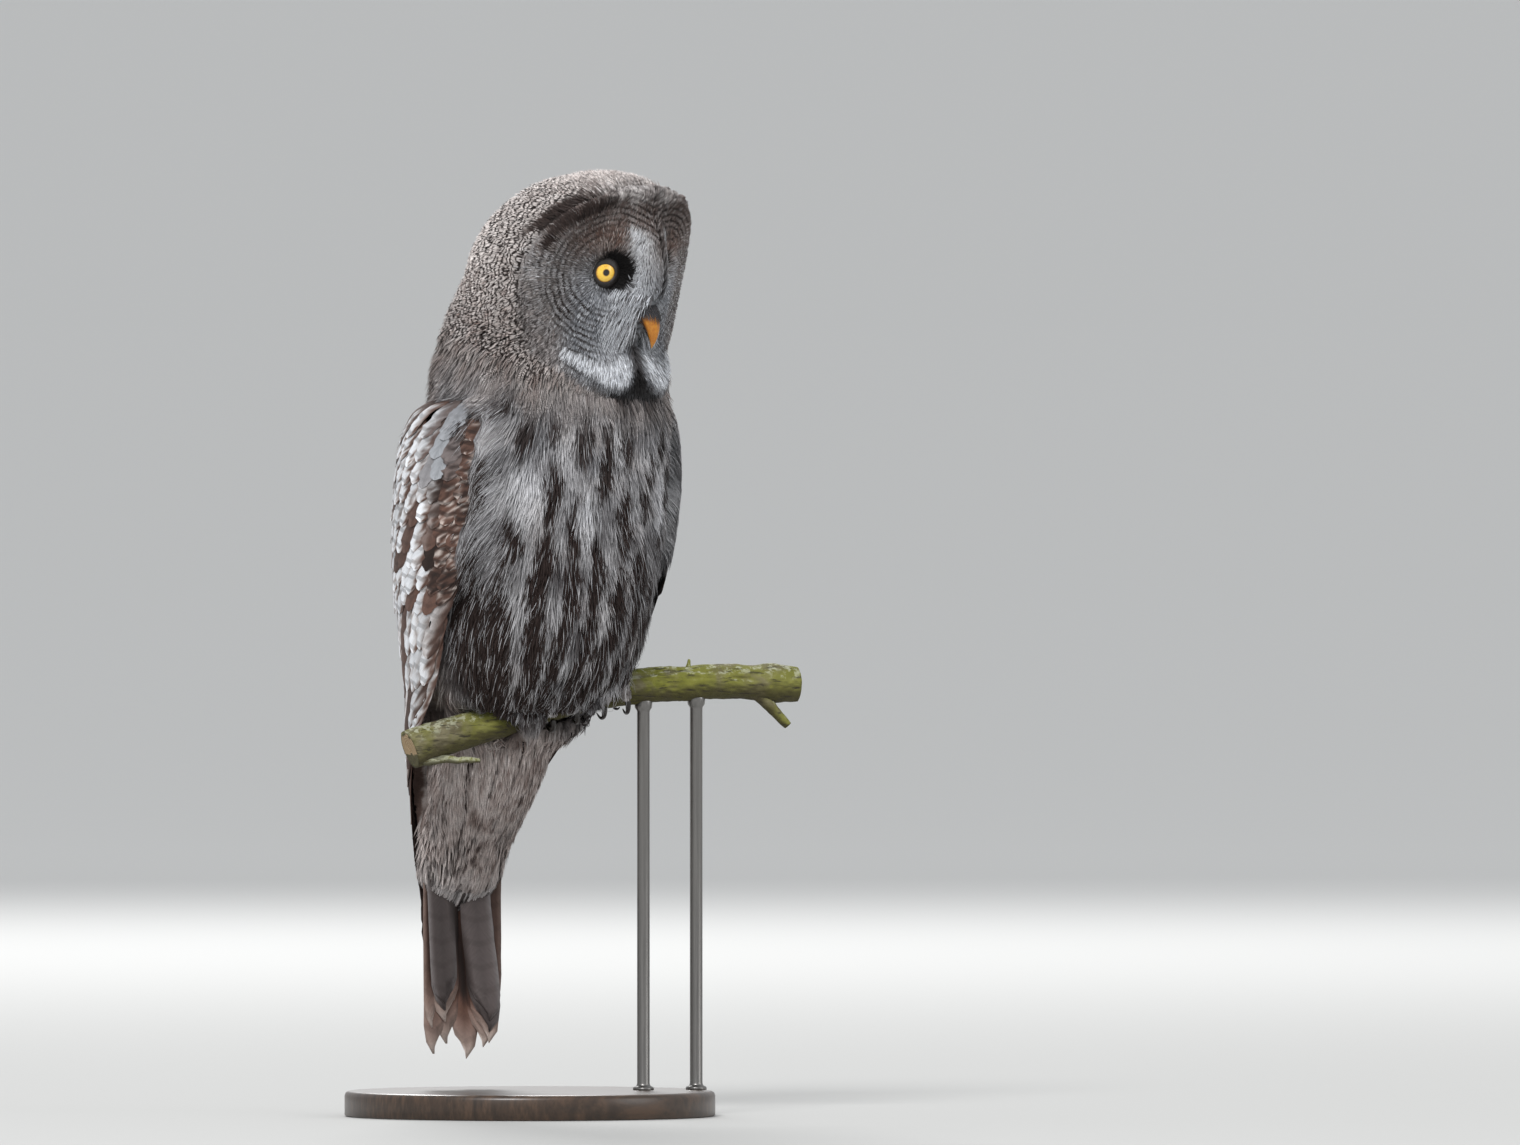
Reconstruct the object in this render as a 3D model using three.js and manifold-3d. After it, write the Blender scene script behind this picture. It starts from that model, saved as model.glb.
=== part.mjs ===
// A great grey owl, life size, perched on a short cut branch that a plain display stand holds up.
// Millimetres, +Z up. The body faces -Y, and the bird's own left is +X.
// The origin is the centre of the stand's underside. The bird's upright line passes through it.
import * as THREE from "three";
import { mergeVertices } from "three/addons/utils/BufferGeometryUtils.js";
import Module from "manifold-3d";

const wasm = await Module();
wasm.setup();

const gap = 0.3; // clear space between neighbouring solids
const slack = 0.12; // how far a face may move when needless ones are dropped
const degree = Math.PI / 180;
const far = 1000; // reach of a cutting block, past the whole model

const stand = { radius: 132, height: 18, edge: 3, sides: 48, rodRadius: 4.5, rodSides: 16 };

// The branch runs along a level line, turned a little from the bird's left, and rises and bends in height.
const perch = {
  middleY: -12, turn: -18 * degree, radius: 13.4, endRadius: 12.4,
  from: -98, to: 194, sides: 12, steps: 12,
  heights: [
    [-112, 256], [-76, 269], [-46, 277], [-15, 287.6], [14, 296],
    [45, 302.6], [75, 306], [135, 309], [194, 306.8],
  ],
  footRight: 10, footLeft: 50, rodNear: 78, rodFar: 118,
};

// The body's outline in level slices: half width, and how far it reaches to the front and the back.
const bodySlices = [
  { z: 596, half: 62, front: -72, back: 34 },
  { z: 572, half: 73, front: -90, back: 46 },
  { z: 547, half: 81, front: -102, back: 58 },
  { z: 515, half: 84, front: -109, back: 66 },
  { z: 490, half: 87, front: -108, back: 74 },
  { z: 465, half: 90, front: -105, back: 80 },
  { z: 438, half: 92, front: -101, back: 84 },
  { z: 400, half: 90, front: -96, back: 87 },
  { z: 367, half: 86, front: -90, back: 88 },
  { z: 335, half: 81, front: -82, back: 88 },
  { z: 310, half: 74, front: -69, back: 88 },
  { z: 293, half: 66, front: -52, back: 88 },
  { z: 277, half: 56, front: -22, back: 88 },
  { z: 262, half: 49, front: 0, back: 88 },
  { z: 225, half: 42, front: 26, back: 88 },
  { z: 185, half: 37, front: 60, back: 89 },
  { z: 150, half: 33, front: 79, back: 90 },
];
const bodyRoundness = 2.2; // exponent of the slices: 2 is an ellipse
const bodySides = 30;
const bodySteps = 22;

// The head, in its own frame: wide to the bird's left, front along the face, up through the crown.
const head = {
  x: 4, y: -37, z: 600, turn: 12 * degree, nod: 15 * degree,
  halfWidth: 86, up: 76, down: 82, // the skull's widest outline, seen from the front
  widestFront: 16, backDepth: 82, brimDepth: 44, // where it is widest, and its reach behind and ahead
  droop: 20, // how far the back of the head hangs lower than the face
  brimTurn: 30, brimShare: 1 / 3, // how the outline turns back from the face's rim into the skull
  sides: 36, faceRings: 11, backRings: 7,
};
const face = {
  halfWidth: 82, up: 77, down: 72, middleUp: 6, corner: 2.45,
  front: 70, sweep: 33, sweepPower: 2.6, topSlope: 7, topFrom: 10,
  eyeSide: 27, eyeUp: 15, socketDepth: 9, socketWidth: 15,
  rimHeight: 4, rimAt: 0.98, rimWidth: 0.09, dish: 4, dishAt: 0.72, dishWidth: 0.16,
  ridge: 22, ridgeWidth: 14, ridgeUp: 12, ridgeTall: 40,
  firstRing: 0.06, // the face's first ring, as a share of its outline
};
const eye = { radius: 12, front: 65, sides: 14 };
// The bill leaves the face nearly level and hooks down: its root, its thickness, and its reach.
const bill = {
  baseFront: 74, baseUp: -8, width: 15, depth: 17,
  forward: 17, drop: 24, hook: 96 * degree, sides: 12, steps: 8,
};

// Planes that part the head, neck, trunk and tail. The first two lie as the head nods.
const cuts = { headUp: -66, neckUp: -102, tailZ: 252 };

// A folded wing, in level slices of a shell round the body: its ellipse, the angles of its two edges
// measured from the bird's side (ahead is positive), and its thickness.
const wingSlices = [
  { z: 514, half: 78, middle: -22, depth: 84, ahead: 16, behind: -14, thick: 5 },
  { z: 500, half: 92, middle: -16, depth: 94, ahead: 25, behind: -34, thick: 9 },
  { z: 470, half: 99, middle: -12, depth: 101, ahead: 26, behind: -52, thick: 11 },
  { z: 438, half: 101, middle: -9, depth: 102, ahead: 25, behind: -62, thick: 11 },
  { z: 400, half: 99, middle: -5, depth: 101, ahead: 22, behind: -70, thick: 11 },
  { z: 367, half: 95, middle: -2, depth: 98, ahead: 14, behind: -76, thick: 10 },
  { z: 335, half: 88, middle: 1, depth: 96, ahead: 5, behind: -81, thick: 9 },
  { z: 303, half: 79, middle: 8, depth: 90, ahead: -3, behind: -84, thick: 8 },
  { z: 262, half: 67, middle: 36, depth: 63, ahead: -14, behind: -84, thick: 7 },
  { z: 210, half: 57, middle: 49, depth: 51, ahead: -35, behind: -82, thick: 6 },
  { z: 160, half: 52, middle: 51, depth: 50, ahead: -46, behind: -74, thick: 5 },
  { z: 122, half: 50, middle: 52, depth: 49, ahead: -52, behind: -64, thick: 4 },
];
const wingArc = 7; // points along each face of a slice
const wingSteps = 14;

// The folded tail: a flat bundle of feathers, arched like a low roof, with a round end.
const tail = {
  top: 300, bottom: 40, halfWidth: 37, tipHalf: 32, tipRound: 26, thickTop: 11, thickTip: 6,
  y: 86, arch: 7, sides: 16, steps: 11,
};

const leg = {
  radius: 15, hipZ: 348, hipSpread: 24, hipY: -4, toeRadius: 7.2, toeEnd: 5.4,
  sides: 8, steps: 5,
};
// Each toe goes over the branch, by the angle round it from the top, and splays along it.
const toes = [
  { name: "front_inner", start: 8, end: 128, splay: -9 },
  { name: "front_outer", start: 8, end: 122, splay: 9 },
  { name: "back_inner", start: -8, end: -112, splay: -9.5 },
  { name: "back_outer", start: -8, end: -106, splay: 9.5 },
];
const claw = { radius: 2.7, sweep: 58, lift: 4.6, sides: 6, steps: 5 };

const colours = {
  plumage: { color: 0x8b837c, roughness: 0.9, metalness: 0 },
  crown: { color: 0x7d756f, roughness: 0.9, metalness: 0 },
  flight: { color: 0x6e5a4e, roughness: 0.8, metalness: 0 },
  leg: { color: 0x9a9087, roughness: 0.9, metalness: 0 },
  bill: { color: 0xd9921c, roughness: 0.4, metalness: 0 },
  eye: { color: 0xf2c22a, roughness: 0.1, metalness: 0 },
  claw: { color: 0x1c1917, roughness: 0.4, metalness: 0 },
  bark: { color: 0x7b7a46, roughness: 0.95, metalness: 0 },
  base: { color: 0x2b2521, roughness: 0.5, metalness: 0 },
  rod: { color: 0x34322f, roughness: 0.4, metalness: 0.8 },
};

const group = new THREE.Group();
const up = new THREE.Vector3(0, 0, 1);

// Helpers

function solidOf(geometry) {
  const bare = geometry.clone();
  for (const name of ["normal", "uv"]) bare.deleteAttribute(name);
  const merged = mergeVertices(bare, 1e-3);
  return new wasm.Manifold(
    new wasm.Mesh({
      numProp: 3,
      vertProperties: new Float32Array(merged.attributes.position.array),
      triVerts: new Uint32Array(merged.index.array),
    }),
  );
}

function geometryOf(solid) {
  const mesh = solid.getMesh();
  const geometry = new THREE.BufferGeometry();
  geometry.setAttribute("position", new THREE.BufferAttribute(mesh.vertProperties, 3));
  geometry.setIndex(new THREE.BufferAttribute(mesh.triVerts, 1));
  geometry.computeVertexNormals();
  return geometry;
}

// The largest piece of a solid, without the slivers that a cut leaves.
function largest(solid) {
  return solid.decompose().reduce((a, b) => (a.volume() > b.volume() ? a : b));
}

function add(name, solid, look) {
  const kept = largest(solid.simplify(slack));
  const mesh = new THREE.Mesh(geometryOf(kept), new THREE.MeshStandardMaterial(colours[look]));
  mesh.name = name;
  group.add(mesh);
}

// A closed tube-like solid: each ring's points come from place(along 0 to 1, turn in radians, reach 0 or 1).
function loft(sides, steps, place) {
  const geometry = new THREE.CylinderGeometry(1, 1, 1, sides, steps);
  const at = geometry.attributes.position;
  for (let i = 0; i < at.count; i++) {
    const reach = Math.hypot(at.getX(i), at.getZ(i)) > 0.5 ? 1 : 0;
    const turn = Math.atan2(at.getZ(i), at.getX(i));
    const point = place(0.5 - at.getY(i), turn, reach);
    at.setXYZ(i, point.x, point.y, point.z);
  }
  const solid = solidOf(geometry);
  return solid.volume() < 0 ? solidOf(turnedOver(geometry)) : solid;
}

function turnedOver(geometry) {
  const index = geometry.index.array;
  for (let i = 0; i < index.length; i += 3) [index[i + 1], index[i + 2]] = [index[i + 2], index[i + 1]];
  return geometry;
}

// Smooth values between slices that are listed by height: returns a function of the height.
function smoothSlices(slices, names) {
  const rows = [...slices].sort((a, b) => a.z - b.z);
  return (z) => {
    const wanted = THREE.MathUtils.clamp(z, rows[0].z, rows.at(-1).z);
    const k = Math.min(rows.findLastIndex((row) => row.z <= wanted), rows.length - 2);
    const last = rows.length - 1;
    const [a, b, c, d] = [-1, 0, 1, 2].map((step) => rows[THREE.MathUtils.clamp(k + step, 0, last)]);
    const span = c.z - b.z;
    const t = (wanted - b.z) / span;
    const found = {};
    for (const name of names) {
      const enter = ((c[name] - a[name]) / (c.z - a.z)) * span;
      const leave = ((d[name] - b[name]) / (d.z - b.z)) * span;
      const [t2, t3] = [t * t, t * t * t];
      found[name] =
        (2 * t3 - 3 * t2 + 1) * b[name] + (t3 - 2 * t2 + t) * enter +
        (3 * t2 - 2 * t3) * c[name] + (t3 - t2) * leave;
    }
    return found;
  };
}

function roundPower(value, power) {
  return Math.sign(value) * Math.abs(value) ** (2 / power);
}

// The part of a solid on the far side of a plane through point, where normal points.
function half(solid, point, normal) {
  const block = new THREE.BoxGeometry(2 * far, 2 * far, far).translate(0, 0, far / 2);
  block.applyQuaternion(new THREE.Quaternion().setFromUnitVectors(up, normal));
  block.translate(point.x, point.y, point.z);
  return solid.intersect(solidOf(block));
}

// Both sides of a plane, with the gap between them: the side that normal points to comes first.
function parted(solid, point, normal) {
  const back = normal.clone().negate();
  return [
    half(solid, point.clone().addScaledVector(normal, gap / 2), normal),
    half(solid, point.clone().addScaledVector(back, gap / 2), back),
  ];
}

// Head frame

const headTurn = new THREE.Matrix4()
  .makeTranslation(head.x, head.y, head.z)
  .multiply(new THREE.Matrix4().makeRotationZ(head.turn))
  .multiply(new THREE.Matrix4().makeRotationX(head.nod));

function fromHead(side, front, rise) {
  return new THREE.Vector3(side, -front, rise).applyMatrix4(headTurn);
}

// How far ahead the face lies at a place on it.
function faceFront(side, rise) {
  const away = Math.abs(side);
  const toEye = Math.hypot(away - face.eyeSide, rise - face.eyeUp);
  const rim = faceShare(side, rise);
  const top = Math.max(0, (rise - face.topFrom) / (face.up + face.middleUp - face.topFrom));
  const ridge = Math.exp(-((side / face.ridgeWidth) ** 2) - ((rise - face.ridgeUp) / face.ridgeTall) ** 2);
  return (
    face.front -
    face.sweep * (away / face.halfWidth) ** face.sweepPower -
    face.topSlope * top ** 2 -
    face.socketDepth * Math.exp(-((toEye / face.socketWidth) ** 2)) +
    face.rimHeight * Math.exp(-(((rim - face.rimAt) / face.rimWidth) ** 2)) -
    face.dish * Math.exp(-(((rim - face.dishAt) / face.dishWidth) ** 2)) +
    face.ridge * ridge
  );
}

// 0 at the face's middle and 1 on its outline.
function faceShare(side, rise) {
  const tall = rise > face.middleUp ? face.up : face.down;
  const across = Math.abs(side / face.halfWidth) ** face.corner;
  return (across + Math.abs((rise - face.middleUp) / tall) ** face.corner) ** (1 / face.corner);
}

function headSolid() {
  const rings = head.faceRings + head.backRings;
  return loft(head.sides, rings, (along, turn, reach) => {
    if (!reach && along < 0.5) return fromHead(0, faceFront(0, face.middleUp), face.middleUp);
    if (!reach) return fromHead(0, head.widestFront - head.backDepth, -head.droop);
    const ring = Math.round(along * rings);
    if (ring <= head.faceRings) return facePoint(turn, ring / head.faceRings);
    return skullPoint(turn, (ring - head.faceRings) / (head.backRings + 0.35));
  });
}

// A point on the face: turn goes round its middle, and share is 1 on its outline.
function facePoint(turn, share) {
  const [across, rise] = [Math.cos(turn), Math.sin(turn)];
  const out = THREE.MathUtils.lerp(face.firstRing, 1, share) / faceShare(across, rise + face.middleUp);
  const [side, high] = [across * out, rise * out + face.middleUp];
  return fromHead(side, faceFront(side, high), high);
}

// A point on the skull behind the face: back is 0 on the face's outline and 1 at the back of the head.
function skullPoint(turn, back) {
  const [across, rise] = [Math.cos(turn), Math.sin(turn)];
  const rim = 1 / faceShare(across, rise + face.middleUp);
  const rimFront = faceFront(across * rim, rise * rim + face.middleUp);
  const brim = THREE.MathUtils.clamp((rimFront - head.widestFront) / head.brimDepth, -1, 1);
  const start = Math.asin(brim * 0.72);
  const angle = start - back * (start + Math.PI / 2);
  const tall = rise > 0 ? head.up : head.down;
  const outline = 1 / Math.hypot(across / head.halfWidth, rise / tall);
  const depth = angle > 0 ? head.brimDepth : head.backDepth;
  const blend = Math.min(1, back / head.brimShare);
  const width = THREE.MathUtils.lerp(rim, outline * Math.cos(angle), blend);
  const lift = THREE.MathUtils.lerp(face.middleUp, -head.droop * (1 - Math.cos(angle)), blend);
  const skullFront = head.widestFront + depth * Math.sin(angle);
  const front = THREE.MathUtils.lerp(rimFront - back * head.brimTurn, skullFront, blend);
  return fromHead(across * width, front, rise * width + lift);
}

function eyeSolid(side, extra) {
  const ball = new THREE.SphereGeometry(eye.radius + extra, eye.sides, eye.sides / 2);
  const at = fromHead(side * face.eyeSide, eye.front - eye.radius, face.eyeUp);
  return solidOf(ball.translate(at.x, at.y, at.z));
}

function billSolid(extra) {
  return loft(bill.sides, bill.steps, (along, turn, reach) => {
    const bend = along * bill.hook;
    const middleFront = bill.baseFront + bill.forward * Math.sin(Math.min(bend, Math.PI / 2));
    const middleRise = bill.baseUp - bill.drop * (1 - Math.cos(bend)) + 3 * along;
    const size = (1 - along ** 1.7 * 0.97) * reach;
    const side = (bill.width / 2 + extra) * Math.cos(turn) * size;
    const thick = (bill.depth / 2 + extra) * Math.sin(turn) * size;
    return fromHead(side, middleFront + thick * Math.sin(bend), middleRise + thick * Math.cos(bend));
  });
}

// Body

const bodyAt = smoothSlices(bodySlices, ["half", "front", "back"]);

function bodySolid() {
  const [highest, lowest] = [bodySlices[0].z, bodySlices.at(-1).z];
  return loft(bodySides, bodySteps, (along, turn, reach) => {
    const z = THREE.MathUtils.lerp(highest, lowest, along);
    const { half: wide, front, back } = bodyAt(z);
    const side = wide * roundPower(Math.cos(turn), bodyRoundness) * reach;
    const depth = ((back - front) / 2) * roundPower(Math.sin(turn), bodyRoundness) * reach;
    return new THREE.Vector3(side, (front + back) / 2 + depth, z);
  });
}

const wingAt = smoothSlices(wingSlices, ["half", "middle", "depth", "ahead", "behind", "thick"]);

// side is 1 for the bird's left wing and -1 for its right one.
function wingSolid(side, extra) {
  const [highest, lowest] = [wingSlices[0].z + extra, wingSlices.at(-1).z - extra];
  return loft(2 * wingArc, wingSteps, (along, turn, reach) => {
    const z = THREE.MathUtils.lerp(highest, lowest, along);
    const { half: wide, middle, depth, ahead, behind, thick } = wingAt(z);
    const spot = Math.round(((turn + Math.PI) / (2 * Math.PI)) * 2 * wingArc) % (2 * wingArc);
    const across = spot < wingArc ? spot / (wingArc - 1) : (2 * wingArc - 1 - spot) / (wingArc - 1);
    const inner = spot < wingArc ? 1 : 0;
    const share = reach ? across : 0.5;
    const edge = (extra / wide) * (2 * share - 1);
    const angle = THREE.MathUtils.lerp(ahead, behind, share) * degree - edge;
    const thin = 0.35 + 0.65 * Math.sin(Math.PI * THREE.MathUtils.clamp(share, 0.04, 0.96)) ** 0.5;
    const level = reach ? inner : 0.5;
    const inset = thick * thin * level + extra * (2 * level - 1);
    const x = side * (wide - inset) * Math.cos(angle);
    return new THREE.Vector3(x, middle - (depth - inset) * Math.sin(angle), z);
  });
}

function tailSolid() {
  return loft(tail.sides, tail.steps, (along, turn, reach) => {
    const z = THREE.MathUtils.lerp(tail.top, tail.bottom, along ** 0.8);
    const fromTip = THREE.MathUtils.clamp((z - tail.bottom) / tail.tipRound, 0, 1);
    const round = 0.3 + 0.7 * Math.sqrt(1 - (1 - fromTip) ** 2);
    const taper = THREE.MathUtils.smoothstep(z, tail.bottom, 200);
    const wide = THREE.MathUtils.lerp(tail.tipHalf, tail.halfWidth, taper) * round;
    const side = wide * roundPower(Math.cos(turn), 3) * reach;
    const thick = THREE.MathUtils.lerp(tail.thickTop, tail.thickTip, along) / 2;
    const middle = tail.y - tail.arch * (side / tail.halfWidth) ** 2;
    return new THREE.Vector3(side, middle + thick * roundPower(Math.sin(turn), 3) * reach, z);
  });
}

// Perch

const perchHeight = smoothSlices(perch.heights.map(([t, rise]) => ({ z: t, rise })), ["rise"]);
const perchWay = new THREE.Vector3(Math.cos(perch.turn), Math.sin(perch.turn), 0);
const perchAcross = new THREE.Vector3().crossVectors(up, perchWay);

function perchPoint(t) {
  return new THREE.Vector3(0, perch.middleY, perchHeight(t).rise).addScaledVector(perchWay, t);
}

// A point outside the branch: turn is measured round it from its top, forward being positive.
function roundPerch(t, turn, distance) {
  const along = perchPoint(t + 1).sub(perchPoint(t - 1)).normalize();
  const above = new THREE.Vector3().crossVectors(along, perchAcross).normalize();
  return perchPoint(t)
    .addScaledVector(above, distance * Math.cos(turn))
    .addScaledVector(perchAcross, -distance * Math.sin(turn));
}

function perchSolid(extra) {
  return loft(perch.sides, perch.steps, (along, turn, reach) => {
    const t = THREE.MathUtils.lerp(perch.from - extra, perch.to + extra, along);
    const knot = 1.6 * Math.exp(-(((t - 172) / 12) ** 2)) + 1.2 * Math.exp(-(((t + 100) / 14) ** 2));
    const radius = THREE.MathUtils.lerp(perch.radius, perch.endRadius, along) + knot + extra;
    return roundPerch(t, turn, radius * reach);
  });
}

// The stub of a side twig, under the branch towards its far end.
function stubSolid() {
  const root = roundPerch(163, 160 * degree, 6);
  const way = new THREE.Vector3(0.62, -0.3, -0.72).normalize();
  const turned = new THREE.Quaternion().setFromUnitVectors(new THREE.Vector3(0, 1, 0), way);
  const twig = new THREE.CylinderGeometry(3.2, 6, 34, 10).translate(0, 17, 0).applyQuaternion(turned);
  return solidOf(twig.translate(root.x, root.y, root.z));
}

// Legs

// A tapering solid along a curve, round in section.
function taper(curve, sides, steps, radiusAt) {
  const frames = curve.computeFrenetFrames(steps);
  return loft(sides, steps, (along, turn, reach) => {
    const k = Math.round(along * steps);
    const radius = radiusAt(along) * reach;
    return curve
      .getPointAt(along)
      .addScaledVector(frames.normals[k], radius * Math.cos(turn))
      .addScaledVector(frames.binormals[k], radius * Math.sin(turn));
  });
}

function footAt(side) {
  return side > 0 ? perch.footLeft : perch.footRight;
}

function toeCurve(foot, toe) {
  const points = [];
  for (let k = 0; k <= 6; k++) {
    const share = k / 6;
    const turn = THREE.MathUtils.lerp(toe.start, toe.end, share) * degree;
    const t = foot + toe.splay * (0.35 + 0.65 * share);
    const radius = perch.radius + THREE.MathUtils.lerp(leg.toeRadius, leg.toeEnd, share) + gap;
    points.push(roundPerch(t, turn, radius));
  }
  return new THREE.CatmullRomCurve3(points);
}

function shankSolid(side, extra) {
  const sole = roundPerch(footAt(side), 0, perch.radius + 2 - extra);
  const hip = new THREE.Vector3(side * leg.hipSpread, leg.hipY, leg.hipZ + extra);
  const size = (along) => leg.radius * (1 - 0.3 * along) + extra;
  return taper(new THREE.LineCurve3(hip, sole), leg.sides, 3, size);
}

function toeSolid(side, toe, extra) {
  const size = (along) => THREE.MathUtils.lerp(leg.toeRadius, leg.toeEnd, along) + extra;
  return taper(toeCurve(footAt(side), toe), leg.sides, leg.steps, size);
}

function clawSolid(side, toe, extra) {
  const direction = Math.sign(toe.end);
  const points = [];
  for (let k = 0; k <= 5; k++) {
    const share = k / 5;
    const turn = (toe.end + direction * (claw.sweep * share - 6)) * degree;
    const bow = Math.sin(Math.PI * share) * claw.lift;
    const radius = perch.radius + THREE.MathUtils.lerp(leg.toeEnd, 1.2, share) + bow + gap;
    points.push(roundPerch(footAt(side) + toe.splay * (1 + 0.12 * share), turn, radius));
  }
  const size = (along) => claw.radius * (1 - 0.82 * along) + extra;
  return taper(new THREE.CatmullRomCurve3(points), claw.sides, claw.steps, size);
}

// Everything is made once, and each piece is cut back from the pieces that it meets.

const sides = [["left", 1], ["right", -1]];
const perchMade = perchSolid(0).add(stubSolid());
const perchRoom = perchSolid(gap);
add("perch_branch", perchMade, "bark");

// Returns the room that the legs take, with a plain hull round each foot.
function makeLegs() {
  let room = perchRoom;
  for (const [name, side] of sides) {
    let foot = shankSolid(side, 0);
    let clawRoom = perchRoom;
    let grown = shankSolid(side, 2 * gap);
    room = room.add(grown);
    for (const toe of toes) {
      add(`claw_${toe.name}_${name}`, clawSolid(side, toe, 0).subtract(perchRoom), "claw");
      const clawGrown = clawSolid(side, toe, 2 * gap);
      clawRoom = clawRoom.add(clawGrown);
      foot = foot.add(toeSolid(side, toe, 0));
      grown = toe === toes[0] ? clawGrown : grown.add(clawGrown);
      grown = grown.add(toeSolid(side, toe, 2 * gap));
    }
    room = room.add(grown.hull());
    add(`leg_${name}`, foot.subtract(clawRoom), "leg");
  }
  return room;
}

function makeWings() {
  let room = null;
  for (const [name, side] of sides) {
    const wing = wingSolid(side, 0);
    add(`wing_${name}`, wing, "flight");
    const grown = wingSolid(side, gap).add(wing);
    room = room ? room.add(grown) : grown;
  }
  return room;
}

function makeHead(room) {
  const whole = headSolid().add(bodySolid()).subtract(room);
  const tilt = fromHead(0, 0, 1).sub(fromHead(0, 0, 0)).normalize();
  const [skull, rest] = parted(whole, fromHead(0, 0, cuts.headUp), tilt);
  const [neck, lower] = parted(rest, fromHead(0, 0, cuts.neckUp), tilt);
  let faceRoom = billSolid(gap);
  for (const [name, side] of sides) {
    add(`eye_${name}`, eyeSolid(side, 0), "eye");
    faceRoom = faceRoom.add(eyeSolid(side, gap));
  }
  add("bill", billSolid(0), "bill");
  add("head", skull.subtract(faceRoom), "crown");
  add("neck", neck, "plumage");
  return lower;
}

function makeTrunkAndTail(lower, room) {
  const down = new THREE.Vector3(0, 0, -1);
  const level = new THREE.Vector3(0, 0, cuts.tailZ);
  const whole = lower.add(tailSolid().subtract(room));
  const [below, above] = parted(whole, level, down);
  add("trunk", above, "plumage");
  add("tail", below, "flight");
}

function makeStand() {
  const { radius, height, edge } = stand;
  const outline = [[0, 0], [radius, 0], [radius, height - edge], [radius - edge, height], [0, height]];
  const points = outline.map(([r, z]) => new THREE.Vector2(r, z));
  const disc = new THREE.LatheGeometry(points, stand.sides).rotateX(Math.PI / 2);
  const made = solidOf(disc);
  add("stand_base", made.volume() < 0 ? solidOf(turnedOver(disc)) : made, "base");
  add("stand_rod_near", rodSolid(perch.rodNear, 0).subtract(perchRoom), "rod");
  add("stand_rod_far", rodSolid(perch.rodFar, 0).subtract(perchRoom), "rod");
}

function rodSolid(t, extra) {
  const top = perchPoint(t);
  const tall = top.z - stand.height;
  const radius = stand.rodRadius + extra;
  const rod = new THREE.CylinderGeometry(radius, radius, tall, stand.rodSides);
  return solidOf(rod.rotateX(Math.PI / 2).translate(top.x, top.y, stand.height + tall / 2));
}

const room = makeLegs().add(makeWings()).add(rodSolid(perch.rodNear, gap));
makeTrunkAndTail(makeHead(room), room);
makeStand();

export default group;
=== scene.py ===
# A great grey owl, life size, perched on a cut branch over a plain display stand.
# Shapes are worked out in millimetres in the frame of the solids, and written to the meshes in metres.
import itertools
import math

import bmesh
import bpy
import numpy as np
from mathutils import Matrix, Vector
from mathutils.bvhtree import BVHTree


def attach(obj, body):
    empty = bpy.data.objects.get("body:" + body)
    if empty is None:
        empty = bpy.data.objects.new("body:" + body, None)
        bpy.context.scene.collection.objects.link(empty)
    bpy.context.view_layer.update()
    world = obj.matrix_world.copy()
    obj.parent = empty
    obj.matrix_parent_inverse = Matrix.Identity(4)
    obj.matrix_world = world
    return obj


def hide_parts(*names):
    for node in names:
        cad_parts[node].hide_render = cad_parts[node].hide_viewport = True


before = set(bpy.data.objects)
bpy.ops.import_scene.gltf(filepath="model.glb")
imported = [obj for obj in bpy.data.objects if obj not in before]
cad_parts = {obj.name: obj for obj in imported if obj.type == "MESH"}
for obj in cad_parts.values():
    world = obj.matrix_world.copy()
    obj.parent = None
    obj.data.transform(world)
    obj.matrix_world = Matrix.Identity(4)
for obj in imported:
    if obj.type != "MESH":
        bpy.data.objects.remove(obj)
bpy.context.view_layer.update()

mm = 0.001
down = np.array([0.0, 0.0, -1.0])


# Numbers

def unit(vectors):
    return vectors / np.maximum(np.linalg.norm(vectors, axis=-1, keepdims=True), 1e-9)


def dot(a, b):
    return (a * b).sum(-1, keepdims=True)


def mix(a, b, share):
    return a + (b - a) * share


def smoothStep(low, high, value):
    share = np.clip((value - low) / (high - low), 0, 1)
    return share * share * (3 - 2 * share)


def bell(value, width):
    return np.exp(-((value / width) ** 2))


# A number from 0 to 1 that is always the same for the same whole numbers.
def scattered(*keys):
    mixed = np.zeros(np.shape(keys[0]), np.int64)
    for key, factor in zip(keys, (73856093, 19349663, 83492791, 26544357)):
        mixed = mixed ^ (np.asarray(key, np.int64) * factor)
    mixed = ((mixed ^ (mixed >> 13)) * 12741261) & 0x7FFFFFFF
    return (((mixed ^ (mixed >> 15)) * 9781) & 0xFFFFF) / 0xFFFFF


# Smooth noise from -1 to 1 with lumps of about the given size.
def softNoise(points, size, seed=0):
    at = np.asarray(points) / size + 500.0
    cell = np.floor(at).astype(np.int64)
    part = at - cell
    part = part * part * (3 - 2 * part)
    total = 0
    for corner in itertools.product((0, 1), repeat=3):
        spot = cell + np.array(corner)
        weight = np.where(np.array(corner), part, 1 - part).prod(-1)
        total = total + weight * scattered(spot[:, 0], spot[:, 1], spot[:, 2], np.full(len(spot), seed))
    return 2 * total - 1


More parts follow.
